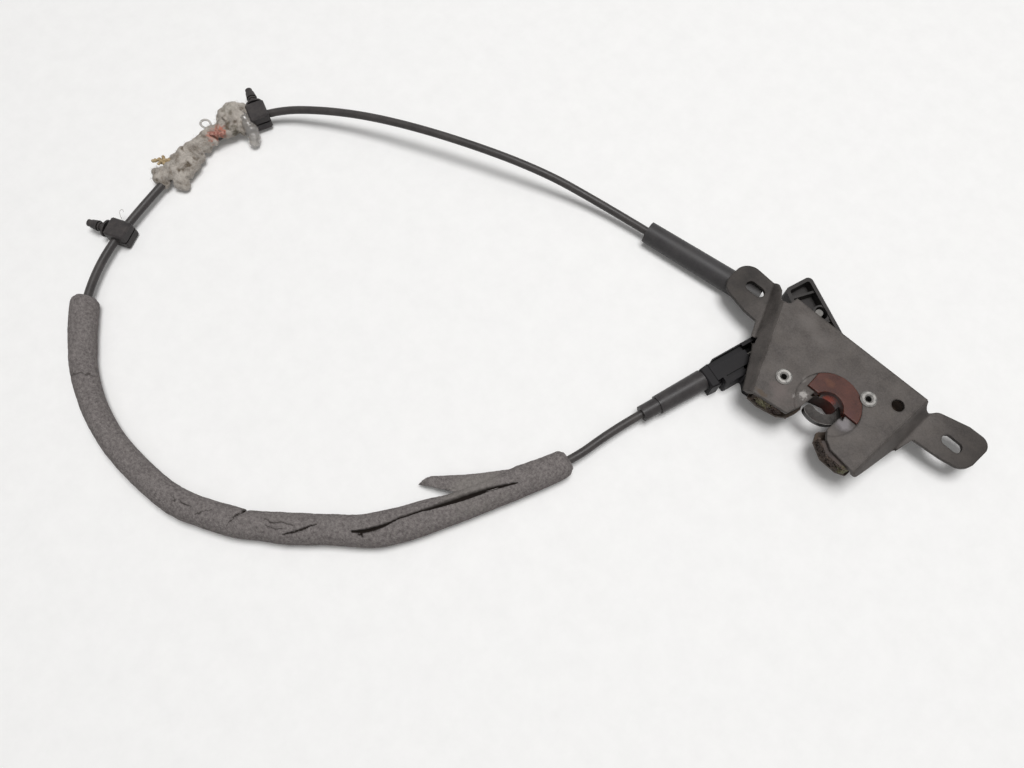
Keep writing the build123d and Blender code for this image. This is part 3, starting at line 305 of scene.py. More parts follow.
def foamFlap(setup):
    long, wide = setup["flapSteps"]
    points, faces, mask = [], [], []
    for layer in (0, 1):
        for i in range(long + 1):
            share = (i / long) ** 1.15
            high = curvePoint(setup["flapTop"], share)
            low = curvePoint(setup["flapLow"], share)
            for j in range(wide + 1):
                across = j / wide
                place = low.lerp(high, across)
                arch = math.sin(across * math.pi)
                thick = setup["flapThickness"] * (0.25 + 0.75 * arch ** 0.5)
                thick *= min(1.0, 0.3 + share * 4)
                grain = 0.22 * fractal(place, 2.2) + 0.25 * fractal(place, 7.0)
                ragged = 0.9 * fractal(place + Vector((3, 1, 8)), 1.8) * (1 - arch)
                rise = setup["flapArch"] * arch
                lift = rise + grain if layer == 0 else rise - thick + grain * 0.4
                place = place + Vector((ragged * 0.7, ragged * 0.7, lift))
                place.z = max(place.z, setup["flapLowest"])
                points.append(place)
                # The flap's underside is painted darker as shade.
                mask.append(0.0 if layer == 0 else 0.35)
    size = (long + 1) * (wide + 1)

    def at(layer, i, j):
        return layer * size + i * (wide + 1) + j

    for i in range(long):
        for j in range(wide):
            faces.append((at(0, i, j), at(0, i, j + 1), at(0, i + 1, j + 1), at(0, i + 1, j)))
            faces.append((at(1, i, j), at(1, i + 1, j), at(1, i + 1, j + 1), at(1, i, j + 1)))
        faces.append((at(0, i, 0), at(0, i + 1, 0), at(1, i + 1, 0), at(1, i, 0)))
        faces.append((at(0, i, wide), at(1, i, wide), at(1, i + 1, wide), at(0, i + 1, wide)))
    for j in range(wide):
        faces.append((at(0, 0, j), at(1, 0, j), at(1, 0, j + 1), at(0, 0, j + 1)))
        faces.append((at(0, long, j), at(0, long, j + 1), at(1, long, j + 1), at(1, long, j)))
    return points, faces, mask


def turnOutwards(mesh):
    work = bmesh.new()
    work.from_mesh(mesh)
    bmesh.ops.recalc_face_normals(work, faces=work.faces)
    work.to_mesh(mesh)
    work.free()


def makeFoam(setup):
    points, faces, mask = foamTube(setup)
    flapPoints, flapFaces, flapShade = foamFlap(setup)
    offset = len(points)
    faces += [tuple(index + offset for index in face) for face in flapFaces]
    mesh = meshFrom("foamSleeve", list(points) + list(flapPoints), faces)
    turnOutwards(mesh)
    storeMask(mesh, "crack", mask + flapShade)
    return addObject("foamSleeve", mesh)


foam = makeFoam(foamSetup)
print("stage: foam sleeve")


# Felt wrap: an uneven dirty pad, swollen where it has come loose. Lumps are (x, y, z, radius).
feltSetup = dict(
    lumps=[
        (-382.8, -177.8, 6.5, 3.3), (-381.0, -172.6, 7.0, 4.6), (-380.2, -167.6, 7.5, 5.2),
        (-380.6, -162.3, 8.0, 6.0), (-374.6, -167.0, 6.2, 6.0), (-374.2, -162.6, 6.6, 6.0),
        (-370.4, -169.7, 5.0, 4.6), (-368.0, -169.9, 3.8, 3.4), (-381.0, -156.4, 8.5, 6.0),
        (-380.9, -151.9, 8.5, 6.0), (-374.6, -157.6, 7.0, 5.6), (-377.1, -151.1, 7.0, 5.0),
        (-381.1, -146.1, 8.5, 5.0), (-381.7, -142.2, 8.5, 4.8), (-381.9, -138.4, 9.0, 5.0),
        (-381.8, -133.9, 9.0, 4.8), (-379.3, -136.4, 8.0, 4.2), (-380.1, -130.7, 9.0, 4.8),
        (-380.4, -125.5, 9.5, 5.2), (-385.4, -120.6, 9.0, 5.8), (-385.1, -114.8, 9.5, 6.0),
        (-381.8, -111.6, 9.5, 5.4), (-377.1, -113.2, 9.5, 5.6), (-378.4, -119.1, 9.5, 5.2),
        (-373.7, -116.2, 9.0, 5.2), (-370.7, -113.4, 9.0, 4.2), (-370.4, -118.5, 7.0, 3.0),
        (-375.2, -123.3, 8.5, 4.5), (-376.8, -127.8, 8.5, 4.0), (-377.0, -177.6, 6.6, 4.0),
        (-379.4, -142.8, 7.0, 4.6), (-384.6, -176.4, 7.0, 3.6), (-378.4, -176.2, 8.8, 3.6),
        (-381.6, -175.0, 8.2, 3.8), (-379.4, -178.4, 8.4, 3.4), (-377.4, -173.4, 9.0, 3.6),
    ],
    voxel=0.45, wrinkle=0.75, foldStep=5.6, dent=((-380.9, -123.8, 13.4), 1.5, 1.8),
    fibreDensity=260000.0, fibreLength=0.0014, fibreThickness=0.00004, seed=11,
)


def mergedLumps(name, lumps, voxel, detail=3):
    work = bmesh.new()
    for x, y, z, radius in lumps:
        made = bmesh.ops.create_icosphere(work, subdivisions=detail, radius=radius * mm)
        bmesh.ops.translate(work, verts=made["verts"], vec=Vector((x, y, z)) * mm)
    mesh = bpy.data.meshes.new(name)
    work.to_mesh(mesh)
    work.free()
    lump = addObject(name, mesh)
    remesh = lump.modifiers.new("remesh", "REMESH")
    remesh.mode = "VOXEL"
    remesh.voxel_size = voxel * mm
    soften = lump.modifiers.new("soften", "SMOOTH")
    soften.iterations = 10
    return applied(lump)


# The evaluated mesh as a plain one, with no modifiers left
def applied(source):
    seen = source.evaluated_get(bpy.context.evaluated_depsgraph_get())
    result = bpy.data.meshes.new_from_object(seen)
    name = source.name
    bpy.data.objects.remove(source)
    result.name = name
    return addObject(name, result)


# How far the folds are warped, how strong each size of fold is, and how near the table they go
crumpleSetup = dict(
    warp=4.2, wave=0.28, slow=0.85, fine=0.24, lowest=0.0001,
)


# Folds that run across the cable, a step apart, warped by slow noise, with small wrinkles; their
# valleys are kept as a mask that paints them darker as shade
def crumple(piece, amount, step, seed):
    shift = Vector((seed * 3.1, seed * 1.7, seed * 0.9))
    mesh = piece.data
    places = [v.co.copy() for v in mesh.vertices]
    normals = [v.normal.copy() for v in mesh.vertices]
    folds = []
    for vertex, place, normal in zip(mesh.vertices, places, normals):
        spot = place / mm + shift
        warp = crumpleSetup["warp"] * fractal(spot, step * 1.7, 2)
        wave = math.sin(2 * math.pi * (spot.y + 0.35 * spot.x + warp) / step)
        slow = fractal(spot + Vector((9, 4, 2)), step * 0.8, 2)
        fine = fractal(spot, step * 0.22, 2)
        height = crumpleSetup["wave"] * wave + crumpleSetup["slow"] * slow
        height += crumpleSetup["fine"] * fine
        vertex.co = place + normal * amount * height * mm
        vertex.co.z = max(vertex.co.z, crumpleSetup["lowest"])
        folds.append(min(1.0, max(0.0, -0.05 - 0.9 * height)))
    storeMask(mesh, "fold", folds)
    mesh.polygons.foreach_set("use_smooth", [True] * len(mesh.polygons))


def pressIn(piece, centre, reach, depth):
    for vertex in piece.data.vertices:
        away = (vertex.co / mm - Vector(centre)).length
        if away < reach * 3:
            vertex.co.z -= depth * math.exp(-((away / reach) ** 2)) * mm


felt = mergedLumps("feltWrap", feltSetup["lumps"], feltSetup["voxel"])
crumple(felt, feltSetup["wrinkle"], feltSetup["foldStep"], feltSetup["seed"])
pressIn(felt, *feltSetup["dent"])
print("stage: felt wrap")


# Shader node helpers
def tone(red, green, blue):
    def line(value):
        value = value / 255
        return value / 12.92 if value <= 0.04045 else ((value + 0.055) / 1.055) ** 2.4
    return (line(red), line(green), line(blue), 1.0)


def put(tree, kind, inputs=None, **settings):
    node = tree.nodes.new(kind)
    for key, value in settings.items():
        setattr(node, key, value)
    for key, value in (inputs or {}).items():
        if isinstance(value, bpy.types.NodeSocket):
            tree.links.new(value, node.inputs[key])
        else:
            node.inputs[key].default_value = value
    return node


def mixTones(tree, factor, first, second):
    inputs = {0: factor, 6: first, 7: second}
    return put(tree, "ShaderNodeMix", inputs, data_type="RGBA").outputs[2]


def mixFigures(tree, factor, first, second):
    inputs = {0: factor, 2: first, 3: second}
    return put(tree, "ShaderNodeMix", inputs, data_type="FLOAT").outputs[0]


def figure(tree, operation, *values, clamp=False):
    inputs = dict(enumerate(values))
    return put(tree, "ShaderNodeMath", inputs, operation=operation, use_clamp=clamp).outputs[0]


def vectorMath(tree, operation, *values):
    return put(tree, "ShaderNodeVectorMath", dict(enumerate(values)), operation=operation).outputs


def cloudNoise(tree, place, scale, detail, roughness=0.5):
    inputs = {"Vector": place, "Scale": scale, "Detail": detail, "Roughness": roughness}
    return put(tree, "ShaderNodeTexNoise", inputs).outputs[0]


def spread(tree, value, low, high, toLow=0.0, toHigh=1.0):
    names = {"Value": value, "From Min": low, "From Max": high, "To Min": toLow, "To Max": toHigh}
    return put(tree, "ShaderNodeMapRange", names).outputs[0]


def newGroup(name, inputs, outputs, kind="ShaderNodeTree"):
    tree = bpy.data.node_groups.new(name, kind)
    for label, form, value in inputs:
        socket = tree.interface.new_socket(label, in_out="INPUT", socket_type="NodeSocket" + form)
        if value is not None:
            socket.default_value = value
    for label, form in outputs:
        tree.interface.new_socket(label, in_out="OUTPUT", socket_type="NodeSocket" + form)
    given, out = tree.nodes.new("NodeGroupInput"), tree.nodes.new("NodeGroupOutput")
    return tree, given.outputs, out.inputs


def maskGroup(name, inputs):
    return newGroup(name, [("Place", "Vector", (0, 0, 0)), *inputs], [("Mask", "Float")])


def giveMask(tree, out, value, amount):
    tree.links.new(figure(tree, "MULTIPLY", value, amount, clamp=True), out["Mask"])
    return tree


# Colour and height of a pressed or moulded surface, in two sizes of unevenness
def grainGroup():
    tree, given, out = newGroup(
        "surfaceGrain",
        [("Place", "Vector", (0, 0, 0)), ("Scale", "Float", 60.0), ("Fine", "Float", 900.0),
         ("Contrast", "Float", 1.0), ("Dark", "Color", (0.1, 0.1, 0.1, 1)),
         ("Light", "Color", (0.2, 0.2, 0.2, 1))],
        [("Color", "Color"), ("Mask", "Float"), ("Height", "Float")],
    )
    cloud = cloudNoise(tree, given["Place"], given["Scale"], 5.0, 0.62)
    fine = cloudNoise(tree, given["Place"], given["Fine"], 2.0)
    both = figure(tree, "MULTIPLY_ADD", cloud, 0.68, figure(tree, "MULTIPLY", fine, 0.32))
    stretched = figure(tree, "MULTIPLY", figure(tree, "SUBTRACT", both, 0.5), given["Contrast"])
    mask = figure(tree, "ADD", figure(tree, "MULTIPLY", stretched, 2.4), 0.5, clamp=True)
    height = figure(tree, "ADD", fine, figure(tree, "MULTIPLY", cloud, 0.6))
    tree.links.new(mixTones(tree, mask, given["Dark"], given["Light"]), out["Color"])
    tree.links.new(mask, out["Mask"])
    tree.links.new(height, out["Height"])
    return tree


# Edges rubbed bright or pale, broken up by noise
def wearGroup():
    tree, given, out = maskGroup("edgeWear", [
        ("Width", "Float", 0.0006), ("Scale", "Float", 220.0), ("Amount", "Float", 0.6),
    ])
    soft = put(tree, "ShaderNodeBevel", {"Radius": given["Width"]}, samples=4).outputs[0]
    flat = tree.nodes.new("ShaderNodeNewGeometry").outputs["Normal"]
    same = vectorMath(tree, "DOT_PRODUCT", soft, flat)["Value"]
    edge = spread(tree, figure(tree, "SUBTRACT", 1.0, same), 0.01, 0.16)
    patches = cloudNoise(tree, given["Place"], given["Scale"], 4.0)
    worn = figure(tree, "MULTIPLY", edge, spread(tree, patches, 0.36, 0.62))
    return giveMask(tree, out, worn, given["Amount"])


# Dust and dried dirt that settles on faces that look up; on the foam it also paints the top paler
# as light from above
def dustAndTopLightGroup():
    tree, given, out = maskGroup("settledDustAndTopLight", [
        ("Scale", "Float", 90.0), ("Amount", "Float", 0.4),
    ])
    flat = tree.nodes.new("ShaderNodeNewGeometry").outputs["Normal"]
    height = put(tree, "ShaderNodeSeparateXYZ", {0: flat}).outputs[2]
    cloud = cloudNoise(tree, given["Place"], given["Scale"], 7.0, 0.68)
    patch = spread(tree, cloud, 0.45, 0.72)
    dusty = figure(tree, "MULTIPLY", patch, spread(tree, height, 0.1, 0.9, 0.25, 1.0))
    return giveMask(tree, out, dusty, given["Amount"])


# One placed spot round a place, with a ragged rim; it serves for smudges, stains and rubbed spots,
# and also for painted shade, painted glints and painted glow
def spotGroup():
    tree, given, out = maskGroup("placedSpot", [
        ("Centre", "Vector", (0, 0, 0)), ("Reach", "Vector", (1, 1, 1)), ("Ragged", "Float", 0.4),
        ("Scale", "Float", 300.0), ("Amount", "Float", 1.0),
    ])
    away = vectorMath(tree, "SUBTRACT", given["Place"], given["Centre"])[0]
    far = vectorMath(tree, "LENGTH", vectorMath(tree, "DIVIDE", away, given["Reach"])[0])["Value"]
    cloud = cloudNoise(tree, given["Place"], given["Scale"], 5.0)
    ragged = figure(tree, "MULTIPLY", figure(tree, "SUBTRACT", cloud, 0.5), given["Ragged"])
    rim = figure(tree, "ADD", far, figure(tree, "MULTIPLY", ragged, 3.0))
    return giveMask(tree, out, spread(tree, rim, 1.0, 0.35), given["Amount"])


groups = {"grain": grainGroup(), "wear": wearGroup(), "dustAndTopLight": dustAndTopLightGroup(), "spot": spotGroup()}


def useGroup(tree, name, inputs):
    return put(tree, "ShaderNodeGroup", inputs, node_tree=groups[name]).outputs


# A spot with its centre and reach in millimetres, its strength and its colour
def mark(centre, reach, amount, color, ragged=0.4, scale=300.0, rough=None):
    inputs = {"Centre": [v * mm for v in centre], "Reach": [v * mm for v in reach],
              "Ragged": ragged, "Scale": scale, "Amount": amount}
    return "spot", inputs, color, rough


finishDefaults = dict(
    scale=60.0, fine=1400.0, contrast=1.0, stretch=None, spots=[], wear=0.0, wearWidth=0.0006,
    wearScale=220.0, wearRough=0.4, dustAndTopLight=0.0, dustAndTopLightScale=90.0, dustAndTopLightRough=0.9, shadeAttribute=None,
    bump=0.3, bumpDepth=0.0002, round=0.0, metal=0.0, specular=0.35, coat=0.0, coatRough=0.15,
    sheen=0.0, clear=0.0, glow=0.0, glowDepth=0.002,
)
shaderInputs = {
    "Metallic": "metal", "Specular IOR Level": "specular", "Coat Weight": "coat",
    "Coat Roughness": "coatRough", "Sheen Weight": "sheen", "Transmission Weight": "clear",
    "Subsurface Weight": "glow",
}


# A finish from one dictionary: grain, placed spots, worn edges, upward dust that on the foam is
# also painted top light, and a stored shade mask over one shader
def makeFinish(name, values):
    look = {**finishDefaults, **values}
    material = bpy.data.materials.new(name)
    material.use_nodes = True
    tree = material.node_tree
    shader = tree.nodes["Principled BSDF"].inputs
    plain = tree.nodes.new("ShaderNodeTexCoord").outputs["Object"]
    place = plain
    if look["stretch"]:
        scaled = {"Vector": plain, "Scale": look["stretch"]}
        place = put(tree, "ShaderNodeMapping", scaled).outputs[0]
    grain = useGroup(tree, "grain", {
        "Place": place, "Scale": look["scale"], "Fine": look["fine"],
        "Contrast": look["contrast"], "Dark": tone(*look["dark"]), "Light": tone(*look["light"]),
    })
    color = grain["Color"]
    rough = spread(tree, grain["Mask"], 0.0, 1.0, *look["rough"])
    layers = list(look["spots"])
    if look["wear"]:
        inputs = {"Width": look["wearWidth"], "Scale": look["wearScale"], "Amount": look["wear"]}
        layers.append(("wear", inputs, look["wearColor"], look["wearRough"]))
    if look["dustAndTopLight"]:
        inputs = {"Scale": look["dustAndTopLightScale"], "Amount": look["dustAndTopLight"]}
        layers.append(("dustAndTopLight", inputs, look["dustAndTopLightColor"], look["dustAndTopLightRough"]))
    for group, inputs, layerColor, layerRough in layers:
        mask = useGroup(tree, group, {"Place": plain, **inputs})["Mask"]
        color = mixTones(tree, mask, color, tone(*layerColor))
        if layerRough is not None:
            rough = mixFigures(tree, mask, rough, layerRough)
    # A stored mask paints cracks, undersides and fold valleys dark as shade.
    if look["shadeAttribute"]:
        sunk = put(tree, "ShaderNodeAttribute", attribute_name=look["shadeAttribute"]).outputs["Fac"]
        shade = spread(tree, sunk, 0.05, 0.75)
        color = mixTones(tree, shade, color, tone(*look["shadeColor"]))
    bump = put(tree, "ShaderNodeBump", {
        "Strength": look["bump"], "Distance": look["bumpDepth"], "Height": grain["Height"],
    })
    if look["round"]:
        rounded = put(tree, "ShaderNodeBevel", {"Radius": look["round"]}, samples=6)
        tree.links.new(rounded.outputs[0], bump.inputs["Normal"])
    tree.links.new(color, shader["Base Color"])
    tree.links.new(rough, shader["Roughness"])
    tree.links.new(bump.outputs[0], shader["Normal"])
    for label, key in shaderInputs.items():
        shader[label].default_value = look[key]
    if look["glow"]:
        shader["Subsurface Radius"].default_value = look["glowReach"]
        shader["Subsurface Scale"].default_value = look["glowDepth"]
    return material


def dress(piece, material):
    piece.data.materials.clear()
    piece.data.materials.append(material)


def dressNodes(name, look, *nodes):
    material = makeFinish(name, look)
    for node in nodes:
        dress(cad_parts[node], material)


# Sheet steel of the bracket, dull grey-brown, with the marks that it shows, much darker ears and
# two painted glints
bracketLook = dict(
    dark=(58, 54, 52), light=(97, 92, 89), scale=70.0, fine=1300.0, contrast=1.25,
    rough=(0.5, 0.68), metal=0.4, bump=0.3, bumpDepth=0.00015, specular=0.3, round=0.0013,
    wear=0.6, wearColor=(142, 137, 132), wearWidth=0.0004, dustAndTopLight=0.12, dustAndTopLightColor=(108, 100, 92),
    dustAndTopLightScale=120.0,
    spots=[
        # Both ears are painted much darker, the left one most.
        mark((-74, 12, 4), (30, 38, 24), 0.97, (19, 17, 16), ragged=0.1, scale=60.0),
        mark((84, 12, 4), (44, 40, 24), 0.92, (34, 30, 28), ragged=0.1, scale=60.0),
        mark((-66.2, 11.6, 8), (8.5, 8.5, 9), 0.5, (74, 72, 70), ragged=0.2),
        mark((-66.2, 11.6, 8), (6.4, 6.4, 9), 0.6, (50, 48, 46), ragged=0.2),
        mark((17.2, -25.4, 27.2), (7.6, 6.6, 3), 0.6, (62, 58, 58), ragged=0.2),
        mark((16.6, -23.9, 27.2), (6.0, 5.4, 3), 0.75, (112, 108, 110), rough=0.3, ragged=0.35),
        # Two pale spots left of the mouth are rubbed shiny metal with a painted glint on them.
        mark((-8.1, -26.3, 27.2), (2.6, 3.0, 3), 0.7, (150, 147, 144), rough=0.3, ragged=0.8,
             scale=700.0),
        mark((-11.3, -30.3, 28), (1.2, 1.4, 3), 0.65, (146, 143, 140), ragged=0.8, scale=700.0),
        mark((-12.9, -19.5, 28), (1.6, 3.2, 3), 0.5, (124, 120, 117), ragged=0.7),
        mark((-3.4, 7.2, 28), (2.2, 1.1, 2), 0.5, (70, 66, 64)),
        mark((1.0, 7.4, 28), (1.8, 1.2, 2), 0.5, (70, 66, 64)),
        mark((6.1, 6.7, 28), (2.4, 1.0, 2), 0.45, (70, 66, 64)),
        mark((-25.5, -41.2, 27), (4.5, 2.0, 5), 0.7, (74, 62, 50), ragged=0.9),
        mark((27, -43, 27), (9, 1.6, 5), 0.5, (58, 48, 44), ragged=0.9),
        mark((-18, -33, 28), (9, 8, 4), 0.22, (118, 104, 102), ragged=0.8, scale=160.0),
        mark((-30, 8, 28), (22, 7, 4), 0.25, (112, 107, 104), ragged=0.8, scale=120.0),
        mark((8, -2, 28), (16, 7, 4), 0.2, (76, 71, 70), ragged=0.8, scale=120.0),
    ],
)
dressNodes("stampedSteel", bracketLook, "mounting_bracket")

backPlateLook = dict(
    dark=(52, 44, 38), light=(78, 68, 60), scale=90.0, fine=1500.0, contrast=1.3,
    rough=(0.5, 0.75), metal=0.4, bump=0.3, wear=0.4, wearColor=(112, 100, 90), dustAndTopLight=0.6,
    dustAndTopLightColor=(92, 74, 58), dustAndTopLightScale=260.0,
)
dressNodes("backPlateSteel", backPlateLook, "back_plate")

# Glossy hardened steel of the hook, and darker working steel behind it
catchLook = dict(
    dark=(30, 28, 27), light=(58, 55, 53), scale=140.0, fine=2600.0, contrast=1.2,
    rough=(0.2, 0.42), metal=0.7, bump=0.1, coat=0.15, wear=0.55, wearColor=(164, 160, 156),
    wearRough=0.25,
    spots=[
        mark((-4, -31, 20), (7, 4, 5), 0.5, (26, 22, 20), ragged=0.9),
        mark((6, -33, 20), (9, 4, 5), 0.5, (34, 26, 22), ragged=0.9),
    ],
)
dressNodes("hookSteel", catchLook, "catch")

# Dark plastic jacket of the hook, with an orange glow painted on it in the throat, as light through
# amber plastic
jacketLook = dict(
    dark=(36, 31, 29), light=(62, 54, 50), scale=120.0, fine=1800.0, rough=(0.22, 0.4), bump=0.15,
    specular=0.4,
    spots=[
        mark((5.0, -15.5, 20), (8.5, 7.0, 7), 0.95, (82, 26, 14), ragged=0.25, scale=160.0),
        mark((4.0, -15.2, 20), (4.0, 2.8, 5), 0.95, (206, 64, 12), ragged=0.35, scale=200.0),
    ],
)
dressNodes("catchJacketPlastic", jacketLook, "catch_jacket")

workingSteelLook = dict(
    dark=(70, 66, 62), light=(112, 107, 102), scale=150.0, fine=2200.0, rough=(0.3, 0.5),
    metal=0.8, bump=0.15, wear=0.7, wearColor=(180, 176, 170), dustAndTopLight=0.25, dustAndTopLightColor=(74, 58, 44),
    dustAndTopLightScale=300.0,
)
dressNodes("workingSteel", workingSteelLook, "pawl", "pawl_pin", "catch_washer", "pawl_washer",
           "lever_retainer")

springLook = dict(
    dark=(60, 56, 52), light=(104, 98, 92), scale=500.0, fine=3200.0, rough=(0.28, 0.42),
    metal=0.9, bump=0.12, stretch=(1.0, 1.0, 3.0),
)
dressNodes("springSteel", springLook, "catch_spring", "pawl_spring")

# Bright turned steel of the two rivets, with their hollow centres painted dark as shade
rivetLook = dict(
    dark=(94, 92, 90), light=(164, 162, 159), scale=420.0, fine=3000.0, contrast=1.5,
    rough=(0.3, 0.5), metal=0.8, bump=0.2, bumpDepth=0.0001, wear=0.5, wearColor=(196, 194, 190),
    wearRough=0.3, wearWidth=0.0003, dustAndTopLight=0.3, dustAndTopLightColor=(88, 76, 66), dustAndTopLightScale=420.0,
    spots=[
        mark((18.3, -4.6, 28), (1.9, 1.9, 4), 0.9, (30, 27, 25), rough=0.7, ragged=0.1),
        mark((-21.8, -25.5, 28), (1.9, 1.9, 4), 0.9, (30, 27, 25), rough=0.7, ragged=0.1),
    ],
)
dressNodes("rivetSteel", rivetLook, "catch_rivet", "pawl_rivet")

# Red-brown plastic round the mouth, with an amber glow painted on the throat wall where it is thin
# and lit
bufferLook = dict(
    dark=(56, 28, 22), light=(90, 50, 40), scale=90.0, fine=1600.0, contrast=1.3,
    rough=(0.3, 0.5), bump=0.12, specular=0.25, glow=0.1, glowReach=(1.0, 0.35, 0.15), wear=0.25,
    wearColor=(140, 84, 60), wearRough=0.4,
    spots=[
        mark((-1.9, -12.0, 28.5), (4.2, 2.6, 3), 0.25, (120, 76, 50), ragged=0.6, scale=220.0),
        mark((16.4, -19.5, 28.5), (3.0, 6.0, 3), 0.4, (76, 42, 44), ragged=0.5),
        # Painted amber glow on the throat wall
        mark((4.0, -15.0, 22.5), (9.5, 5.0, 4.2), 0.85, (112, 38, 18), ragged=0.35, scale=160.0),
        mark((5.4, -15.0, 23.0), (5.0, 3.0, 3.6), 0.8, (190, 62, 16), ragged=0.45, scale=160.0),
    ],
)
dressNodes("bufferPlastic", bufferLook, "mouth_buffer")

linerLook = dict(
    dark=(36, 30, 29), light=(86, 76, 72), scale=150.0, fine=1500.0, contrast=1.7,
    rough=(0.45, 0.8), bump=0.7, bumpDepth=0.0005, stretch=(1.0, 1.0, 3.6), dustAndTopLight=0.35,
    dustAndTopLightColor=(92, 82, 76), dustAndTopLightScale=300.0,
    spots=[
        mark((33.0, -43, 21), (5.5, 4, 5), 0.8, (112, 110, 76), ragged=0.8),
    ],
)
dressNodes("linerPlastic", linerLook, "jaw_liner")

stopLook = dict(
    dark=(84, 80, 62), light=(142, 138, 112), scale=200.0, fine=1500.0, contrast=1.5,
    rough=(0.3, 0.6), bump=0.4, dustAndTopLight=0.4, dustAndTopLightColor=(60, 48, 40), dustAndTopLightScale=260.0, specular=0.4,
    spots=[
        mark((-14.0, -41, 20), (5.5, 4, 6), 0.9, (44, 28, 25), ragged=0.5),
    ],
)
dressNodes("stopPlastic", stopLook, "pawl_stop")

# Black mouldings: lever, housing and the cable's end fitting
leverLook = dict(
    dark=(38, 36, 36), light=(64, 61, 60), scale=40.0, fine=2600.0, contrast=1.0,
    rough=(0.45, 0.62), bump=0.18, bumpDepth=0.0001, specular=0.22, wear=0.5,
    wearColor=(74, 72, 70), wearRough=0.5, dustAndTopLight=0.2, dustAndTopLightColor=(84, 79, 75), dustAndTopLightScale=70.0,
)
dressNodes("leverPlastic", leverLook, "release_lever")

# The mouth's red-brown glow is painted on the black housing that lies behind it
housingLook = dict(
    spots=[
        mark((7.0, -12.0, 8), (9.5, 5.0, 11), 0.95, (88, 34, 20), ragged=0.3, scale=160.0),
        mark((1.5, -13.0, 6), (6.5, 4.0, 8), 0.8, (56, 40, 35), ragged=0.3, scale=160.0),
    ],
    dark=(18, 17, 19), light=(32, 30, 32), scale=46.0, fine=2400.0, rough=(0.42, 0.62), bump=0.2,
    bumpDepth=0.0001, specular=0.16, wear=0.35, wearColor=(58, 57, 58), dustAndTopLight=0.1,
    dustAndTopLightColor=(70, 66, 63), dustAndTopLightScale=110.0,
)
dressNodes("housingPlastic", housingLook, "rear_housing", "end_fitting")

ferruleLook = dict(
    dark=(40, 37, 38), light=(60, 57, 57), scale=80.0, fine=2000.0, rough=(0.3, 0.46), bump=0.1,
    specular=0.3, wear=0.3, wearColor=(88, 85, 84), dustAndTopLight=0.14, dustAndTopLightColor=(100, 96, 92),
    dustAndTopLightScale=160.0,
)
dressNodes("ferrulePlastic", ferruleLook, "near_ferrule")

sleeveLook = dict(
    dark=(44, 42, 43), light=(66, 64, 65), scale=50.0, fine=1700.0, rough=(0.4, 0.56), bump=0.14,
    specular=0.3, wear=0.3, wearColor=(88, 85, 84), dustAndTopLight=0.14, dustAndTopLightColor=(100, 96, 92),
    dustAndTopLightScale=120.0,
    spots=[
        # Painted shade where the sleeve runs under the left ear.
        mark((-68, 13, 8), (26, 20, 16), 0.6, (40, 38, 37), ragged=0.1),
    ],
)
dressNodes("sleeveRubber", sleeveLook, "far_sleeve")

cableLook = dict(
    dark=(40, 37, 37), light=(64, 60, 59), scale=110.0, fine=1700.0, contrast=1.0,
    rough=(0.34, 0.5), bump=0.14, specular=0.35, dustAndTopLight=0.16, dustAndTopLightColor=(108, 103, 98),
    dustAndTopLightScale=140.0,
)
dress(cable, makeFinish("cableJacket", cableLook))

clipLook = dict(
    dark=(36, 33, 34), light=(60, 56, 56), scale=90.0, fine=2200.0, rough=(0.42, 0.6), bump=0.16,
    specular=0.28, wear=0.5, wearColor=(82, 79, 78), dustAndTopLight=0.3, dustAndTopLightColor=(104, 97, 92),
    dustAndTopLightScale=220.0,
)
dressNodes("clipNylon", clipLook, "cable_clip_1", "cable_clip_2")

# Bright inner wire, its strands drawn by a fine strong grain
wireLook = dict(
    dark=(90, 86, 82), light=(178, 174, 168), scale=900.0, fine=4000.0, contrast=1.6,
    rough=(0.3, 0.5), metal=0.9, bump=0.5, bumpDepth=0.0001,
)
dressNodes("wireStrands", wireLook, "release_wire", "far_wire")

nippleLook = dict(
    dark=(84, 82, 80), light=(132, 130, 127), scale=240.0, fine=2400.0, rough=(0.38, 0.6),
    metal=0.75, bump=0.22, wear=0.4, wearColor=(206, 204, 200),
)
dressNodes("castZinc", nippleLook, "release_nipple", "far_nipple")

# Grey foam; its top is painted paler as light from above, together with dust, in patches on faces
# that look up
foamLook = dict(
    dark=(92, 87, 86), light=(140, 134, 132), scale=640.0, fine=1500.0, contrast=1.5,
    rough=(0.85, 1.0), bump=1.0, bumpDepth=0.0005, specular=0.1, dustAndTopLight=0.22,
    dustAndTopLightColor=(138, 133, 130), dustAndTopLightScale=60.0, shadeAttribute="crack", shadeColor=(34, 29, 26),
    spots=[
        # Painted light on the top of the foam over the flap
        mark((-106, -181, 12), (22, 22, 6), 0.4, (142, 138, 132), scale=90.0),
    ],
)
dress(foam, makeFinish("greyFoam", foamLook))

feltLook = dict(
    dark=(132, 125, 117), light=(196, 189, 181), scale=150.0, fine=1600.0, contrast=1.5,
    rough=(0.9, 1.0), bump=0.6, bumpDepth=0.0003, specular=0.1, sheen=0.15, dustAndTopLight=0.25,
    dustAndTopLightColor=(146, 132, 116), dustAndTopLightScale=140.0, shadeAttribute="fold", shadeColor=(100, 90, 78),
    spots=[
        mark((-377.0, -133.5, 12), (4.6, 7.0, 5), 0.85, (196, 118, 98), ragged=0.9, scale=500.0),
        mark((-371.5, -123.5, 10), (4.6, 3.6, 6), 0.85, (76, 72, 58), ragged=0.6, scale=400.0),
        mark((-381.2, -123.8, 13), (2.4, 1.5, 5), 0.9, (66, 60, 52), ragged=0.5, scale=400.0),
        mark((-370.0, -110.0, 11), (3.4, 3.6, 6), 0.7, (78, 62, 54), ragged=0.7, scale=400.0),
        mark((-386.0, -118.0, 10), (6.0, 6.0, 9), 0.35, (126, 128, 116), ragged=0.8),
    ],
)
